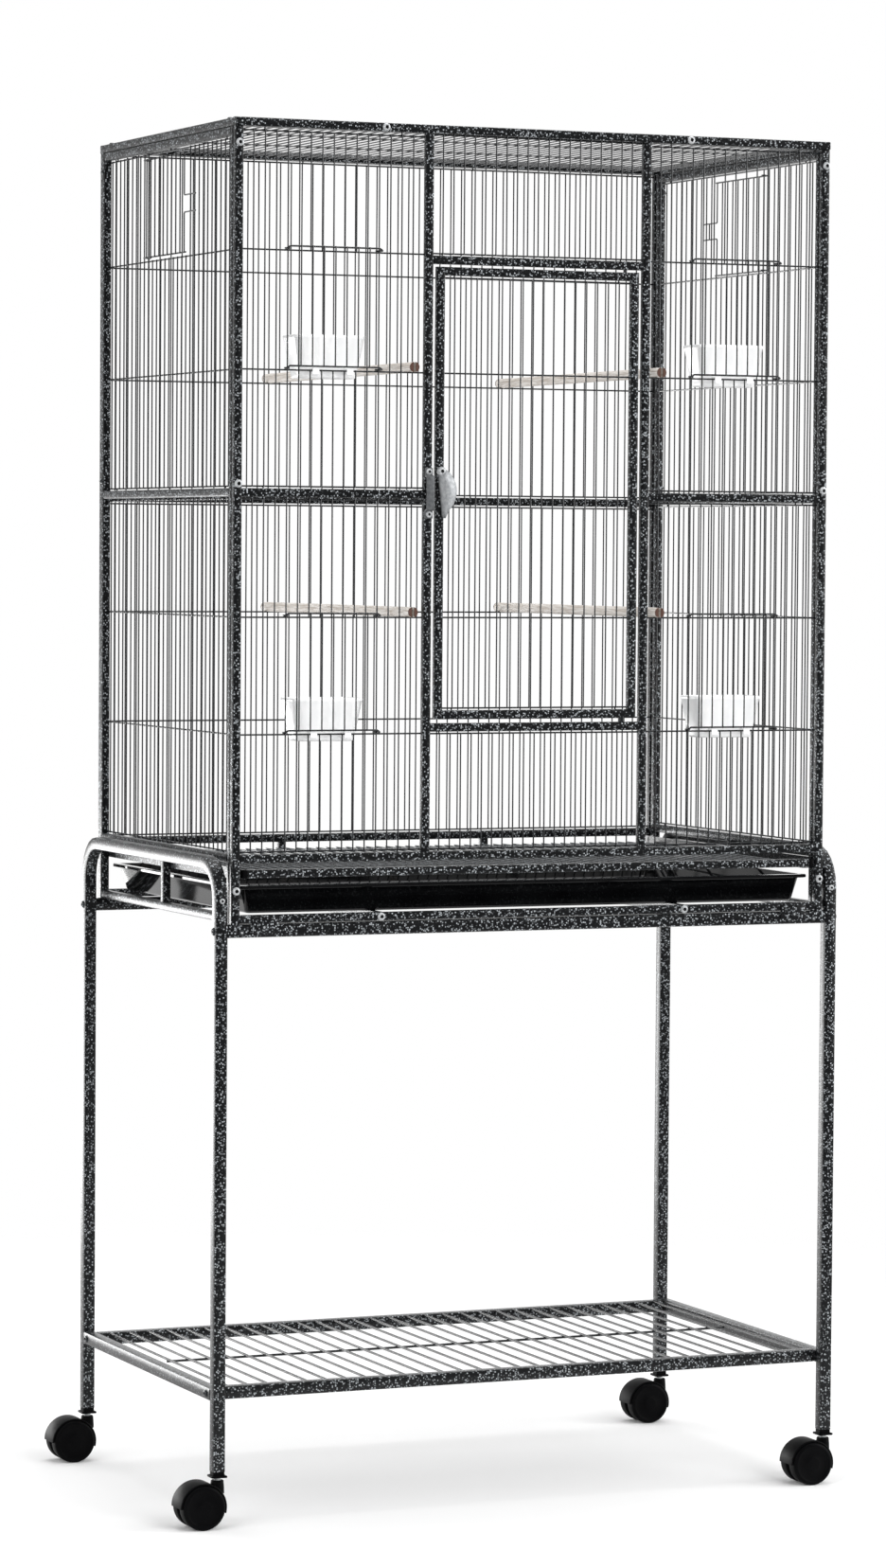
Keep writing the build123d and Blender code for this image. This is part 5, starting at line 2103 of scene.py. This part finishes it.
@dataclass
class Hardware:
    """Bolts of the frames, bracket plates and their screws."""

    cage: CageSize
    stand: StandSize
    screws: Fasteners
    front_levels: tuple[float, float, float] = (1597.0, 1207.0, 738.0)
    side_levels: tuple[float, float, float] = (1593.0, 1214.0, 738.0)
    rail_bolt_x: float = 196.0
    roof_screw_y: float = 205.0
    leg_screw_high: float = 727.0
    leg_screw_low: float = 698.0
    bar_screw_x: float = 370.0
    bar_screw_z: float = 690.0
    plate_screw_x: float = 343.0
    plate_screw_z: float = 696.0
    bracket_inner: float = 325.0
    bracket_outer: float = 359.0
    bracket_low: float = 688.0
    bracket_high: float = 708.0
    bracket_sheet: float = 1.5
    bracket_cut: float = 3.0
    bracket_round: float = 0.7
    bolt_scale: float = 0.9
    screw_scale: float = 0.62

    def build(self) -> None:
        """Build the fasteners and plates."""
        cage, stand = self.cage, self.stand
        front = -cage.half_depth
        leg_side = stand.leg_x + stand.half_tube
        leg_face = stand.leg_y + stand.half_tube
        plate_face = cage.half_depth + self.bracket_sheet
        panel: list[Spot] = []
        for level in self.front_levels:
            panel += mirrored((cage.post_x, front, level), AHEAD)
        for level in self.side_levels:
            panel += mirrored((cage.back_post, cage.half_depth, level), BEHIND)
        for level in (cage.base_rail, cage.top_rail):
            panel += mirrored((self.rail_bolt_x, front, level), AHEAD)
        stays = mirrored((leg_side, stand.leg_y, stand.bar_level), OUTWARD, SIDES)
        stays += mirrored((leg_side, stand.shelf_y, stand.tie_level), OUTWARD, SIDES)
        small = mirrored((cage.post_x, self.roof_screw_y, cage.top), UPWARD, SIDES)
        for level in self.side_levels[:2]:
            small += mirrored((cage.half_width, cage.side_post, level), OUTWARD)
        small += mirrored((stand.leg_x, leg_face, self.leg_screw_low), BEHIND, SIDES)
        leg = mirrored((stand.leg_x, leg_face, self.leg_screw_high), BEHIND, SIDES)
        plate = mirrored((self.bar_screw_x, leg_face, self.bar_screw_z), BEHIND, SIDES)
        plate += mirrored((self.plate_screw_x, plate_face, self.plate_screw_z), BEHIND, SIDES)
        bolt, screw = self.bolt_scale, self.screw_scale
        head, socket = FastenerPart.HEAD, FastenerPart.SOCKET
        for name, spots, finish, scale, part, nodes in (
            ("panel_bolt_heads", panel, ZINC, bolt, head, ["panel_bolts"]),
            ("leg_bolt_heads", stays, BLACK_ZINC, bolt, head, ["leg_bolts"]),
            ("small_screw_heads", small + plate, BLACK_ZINC, screw, head, []),
            # Bright zinc socket pieces in the black plate screw heads: a painted glint of the lamp on each
            # domed head.
            ("plate_screw_drives", plate, ZINC, screw, socket, []),
            ("leg_screw_heads", leg, ZINC, screw, head, []),
            # Near-black socket pieces: painted shade in the recesses of the leg screws and bolts.
            ("leg_screw_sockets", leg, SOCKET_SHADE, screw, socket, []),
            ("bolt_sockets", panel + stays, SOCKET_SHADE, bolt, socket, []),
        ):
            hand_over(self.screws.set_out(name, spots, finish, scale, part), finish, Body.CAGE, *nodes)
        self.plates()

    def plates(self) -> None:
        """Build the corner bracket plates."""
        maker = MeshMaker()
        middle = (self.bracket_outer + self.bracket_inner) / 2
        level = (self.bracket_high + self.bracket_low) / 2
        half = (self.bracket_outer - middle, self.bracket_high - level)
        inner_face = self.cage.half_depth
        for side in SIDES:
            ring = rounded_ring((side * middle, level), half, self.bracket_cut, 0.0, steps=1)
            outline = [(x, z) for x, z, _ in ring]
            for end in SIDES:
                outer_face = end * (inner_face + self.bracket_sheet)
                maker.slab(outline, end * inner_face, outer_face, lambda x, z, y: (x, y, z))
        made = maker.done("bracket_plates", HAMMERTONE, self.bracket_round)
        hand_over(made, HAMMERTONE, Body.CAGE, "corner_brackets")


@dataclass(frozen=True)
class Softbox:
    """One soft area lamp, in metres and watts; in_gloss says whether shiny surfaces mirror it."""

    name: str
    place: Point
    aim: Point
    size: Flat
    power: float
    in_gloss: bool = True

    def build(self) -> None:
        """Add the lamp."""
        data = bpy.data.lights.new(self.name, "AREA")
        data.shape = "RECTANGLE"
        data.size, data.size_y = self.size
        data.energy = self.power
        made = bpy.data.objects.new(self.name, data)
        made.location = self.place
        made.rotation_euler = (Vector(self.aim) - Vector(self.place)).to_track_quat("-Z", "Y").to_euler()
        made.visible_glossy = self.in_gloss
        made.visible_camera = False
        bpy.context.scene.collection.objects.link(made)


@dataclass
class Studio:
    """Camera, lamps, pale floor and white surround."""

    image_width: int = 936
    focal_px: float = 5268.6
    place: Point = (-2408.3, -5603.3, 1134.1)
    yaw: float = 23.107
    pitch: float = 2.702
    roll: float = 0.409
    sensor: float = 36.0
    far: float = 100.0
    floor_reach: float = 3.2
    floor_tone: str = "#f4f4f4"
    fade_from: float = 0.7
    fade_share: float = 0.7
    backdrop: str = "#ffffff"
    fill: float = 0.55
    room_depth: Flat = (-0.75, 0.15)
    room_light: Flat = (0.25, 1.0)
    wall_width: Flat = (-0.2, 0.3)
    wall_light: Flat = (0.6, 1.3)
    horizon: Flat = (-0.03, 0.06)
    lamps: tuple[Softbox, ...] = (
        Softbox("left softbox", (-3.2, -1.6, 2.2), (0.0, 0.0, 0.9), (2.6, 2.6), 45.0),
        Softbox("right softbox", (3.2, -1.6, 1.8), (0.0, 0.0, 0.9), (2.2, 2.2), 60.0),
        Softbox("front softbox", (1.1, -4.5, 2.4), (0.0, 0.0, 0.9), (3.0, 3.0), 150.0, in_gloss=False),
        Softbox("top softbox", (0.2, 0.6, 4.0), (0.0, 0.0, 0.8), (2.8, 2.8), 70.0),
        Softbox("low back softbox", (-1.5, 2.4, 0.3), (-0.4, -0.2, 0.35), (2.6, 0.6), 52.0),
    )

    def build(self) -> None:
        """Set up the whole studio."""
        self.camera()
        self.surround()
        self.floor()
        for lamp in self.lamps:
            lamp.build()
        bpy.context.scene.view_settings.view_transform = "Standard"

    def camera(self) -> None:
        """Add the camera at the photograph's viewing angle."""
        yaw, pitch, roll = (math.radians(value) for value in (self.yaw, self.pitch, self.roll))
        ahead = Vector((math.sin(yaw) * math.cos(pitch), math.cos(yaw) * math.cos(pitch), -math.sin(pitch)))
        right = Vector((math.cos(yaw), -math.sin(yaw), 0.0))
        up = right.cross(ahead)
        across = right * math.cos(roll) + up * math.sin(roll)
        upward = up * math.cos(roll) - right * math.sin(roll)
        data = bpy.data.cameras.new("camera")
        data.sensor_fit = "HORIZONTAL"
        data.sensor_width = self.sensor
        data.lens = self.focal_px / self.image_width * self.sensor
        data.clip_end = self.far
        made = bpy.data.objects.new("camera", data)
        turn = Matrix((across, upward, -ahead)).transposed().to_4x4()
        made.matrix_world = Matrix.Translation(Vector(self.place) * MM) @ turn
        bpy.context.scene.collection.objects.link(made)
        bpy.context.scene.camera = made

    def surround(self) -> None:
        """White world for what the camera sees, softer light for the object.

        Gloss mirrors a backdrop that is white low behind the object and greyer above on the left,
        and a dark room in front.
        """
        world = bpy.data.worlds.new("white surround")
        bpy.context.scene.world = world
        world.use_nodes = True
        tree = world.node_tree
        tree.nodes.clear()
        rays = add_node(tree, "ShaderNodeLightPath").outputs
        way = add_node(tree, "ShaderNodeTexCoord").outputs["Generated"]
        axes = add_node(tree, "ShaderNodeSeparateXYZ", {"Vector": way}).outputs
        keys = ("Value", "From Min", "From Max", "To Min", "To Max")
        kind, soft = "ShaderNodeMapRange", {"interpolation_type": "SMOOTHSTEP"}
        depth = dict(zip(keys, (axes["Y"], *self.room_depth, *self.room_light)))
        room = add_node(tree, kind, depth, **soft).outputs["Result"]
        width = dict(zip(keys, (axes["X"], *self.wall_width, *self.wall_light)))
        above = add_node(tree, kind, width, **soft).outputs["Result"]
        height = dict(zip(keys, (axes["Z"], *self.horizon, 1.0, above)))
        level = add_node(tree, kind, height, **soft).outputs["Result"]
        wall = add_node(tree, "ShaderNodeMath", {0: room, 1: level}, operation="MULTIPLY").outputs[0]
        lit = {MIX_SHARE: rays["Is Glossy Ray"], NUMBER_A: self.fill, NUMBER_B: wall}
        gloss = add_node(tree, "ShaderNodeMix", lit).outputs[MIXED_NUMBER]
        direct = {0: rays["Is Camera Ray"], 1: rays["Is Transmission Ray"]}
        seen = add_node(tree, "ShaderNodeMath", direct, operation="MAXIMUM").outputs[0]
        shown = {MIX_SHARE: seen, NUMBER_A: gloss, NUMBER_B: 1.0}
        strength = add_node(tree, "ShaderNodeMix", shown).outputs[MIXED_NUMBER]
        sky = add_node(tree, "ShaderNodeBackground", {"Color": linear(self.backdrop), "Strength": strength})
        add_node(tree, "ShaderNodeOutputWorld", {"Surface": sky.outputs["Background"]})

    def floor(self) -> None:
        """Pale floor that fades into the white surround."""
        reach = self.floor_reach / MM
        corners = level_run(reach, -reach, 0.0) + level_run(-reach, reach, 0.0)
        made = mesh_object("floor", corners, [(0, 1, 2, 3)])
        paint = bpy.data.materials.new("Pale studio floor")
        paint.use_nodes = True
        tree = paint.node_tree
        tree.nodes.clear()
        coords = add_node(tree, "ShaderNodeTexCoord").outputs["Object"]
        away = add_node(tree, "ShaderNodeVectorMath", {0: coords}, operation="LENGTH").outputs["Value"]
        rim = {"Value": away, "From Min": self.fade_from, "From Max": self.floor_reach * self.fade_share}
        fade = add_node(tree, "ShaderNodeMapRange", rim, interpolation_type="SMOOTHSTEP").outputs["Result"]
        matt = add_node(tree, "ShaderNodeBsdfDiffuse", {"Color": linear(self.floor_tone)}).outputs["BSDF"]
        clear = add_node(tree, "ShaderNodeBsdfTransparent").outputs["BSDF"]
        mixed = add_node(tree, "ShaderNodeMixShader", {0: fade, 1: matt, 2: clear}).outputs["Shader"]
        add_node(tree, "ShaderNodeOutputMaterial", {"Surface": mixed})
        made.data.materials.append(paint)


def dress_solids() -> None:
    """Give the CAD nodes that stay in view their finishes."""
    finishes = (HAMMERTONE, COATED_WIRE, CUP_PLASTIC, WOOD, TRAY_PLASTIC, CASTER_PLASTIC, ZINC)
    by_slot = {finish.slot.value: finish for finish in finishes}
    for part in frame["record"]["subparts"]:
        node = frame["nodes"][part["node"]]
        for slot in node.material_slots:
            slot.material = by_slot[part["material_slot"]].material()


def main() -> None:
    """Build the sub-assemblies in order."""
    logging.basicConfig(level=logging.INFO)
    dress_solids()
    wires = Sweep(Section.ROUND)
    tubes = Sweep(Section.SQUARE)
    screws = Fasteners()
    CagePanels(CAGE, wires).build()
    CageFrames(CAGE, tubes).build()
    Stand(STAND, tubes, wires).build()
    MainDoor(CAGE, tubes, wires, screws).build()
    over, middle_over, middle_under, under = CAGE.cross_levels
    for word, side in HANDS:
        FeederDoor(CAGE, wires, f"upper_{word}_feeder_door", side, over, middle_over).build()
        FeederDoor(CAGE, wires, f"lower_{word}_feeder_door", side, middle_under, under).build()
        FoodCup(CAGE, f"upper_{word}_cup", side, middle_over).build()
        FoodCup(CAGE, f"lower_{word}_cup", side, under).build()
    NestDoor(CAGE, wires, "left_nest_door", -1, CAGE.nest_last, CAGE.nest_first).build()
    NestDoor(CAGE, wires, "right_nest_door", 1, CAGE.nest_first, CAGE.nest_last).build()
    TrayAndGrate(CAGE, tubes, wires).build()
    for end_word, end in (("front", -1), ("back", 1)):
        for side_word, side in HANDS:
            Caster(f"{end_word}_{side_word}", side * STAND.leg_x, end * STAND.leg_y).build()
    CasterSockets(STAND).build()
    Hardware(CAGE, STAND, screws).build()
    Studio().build()


if __name__ == "__main__":
    main()
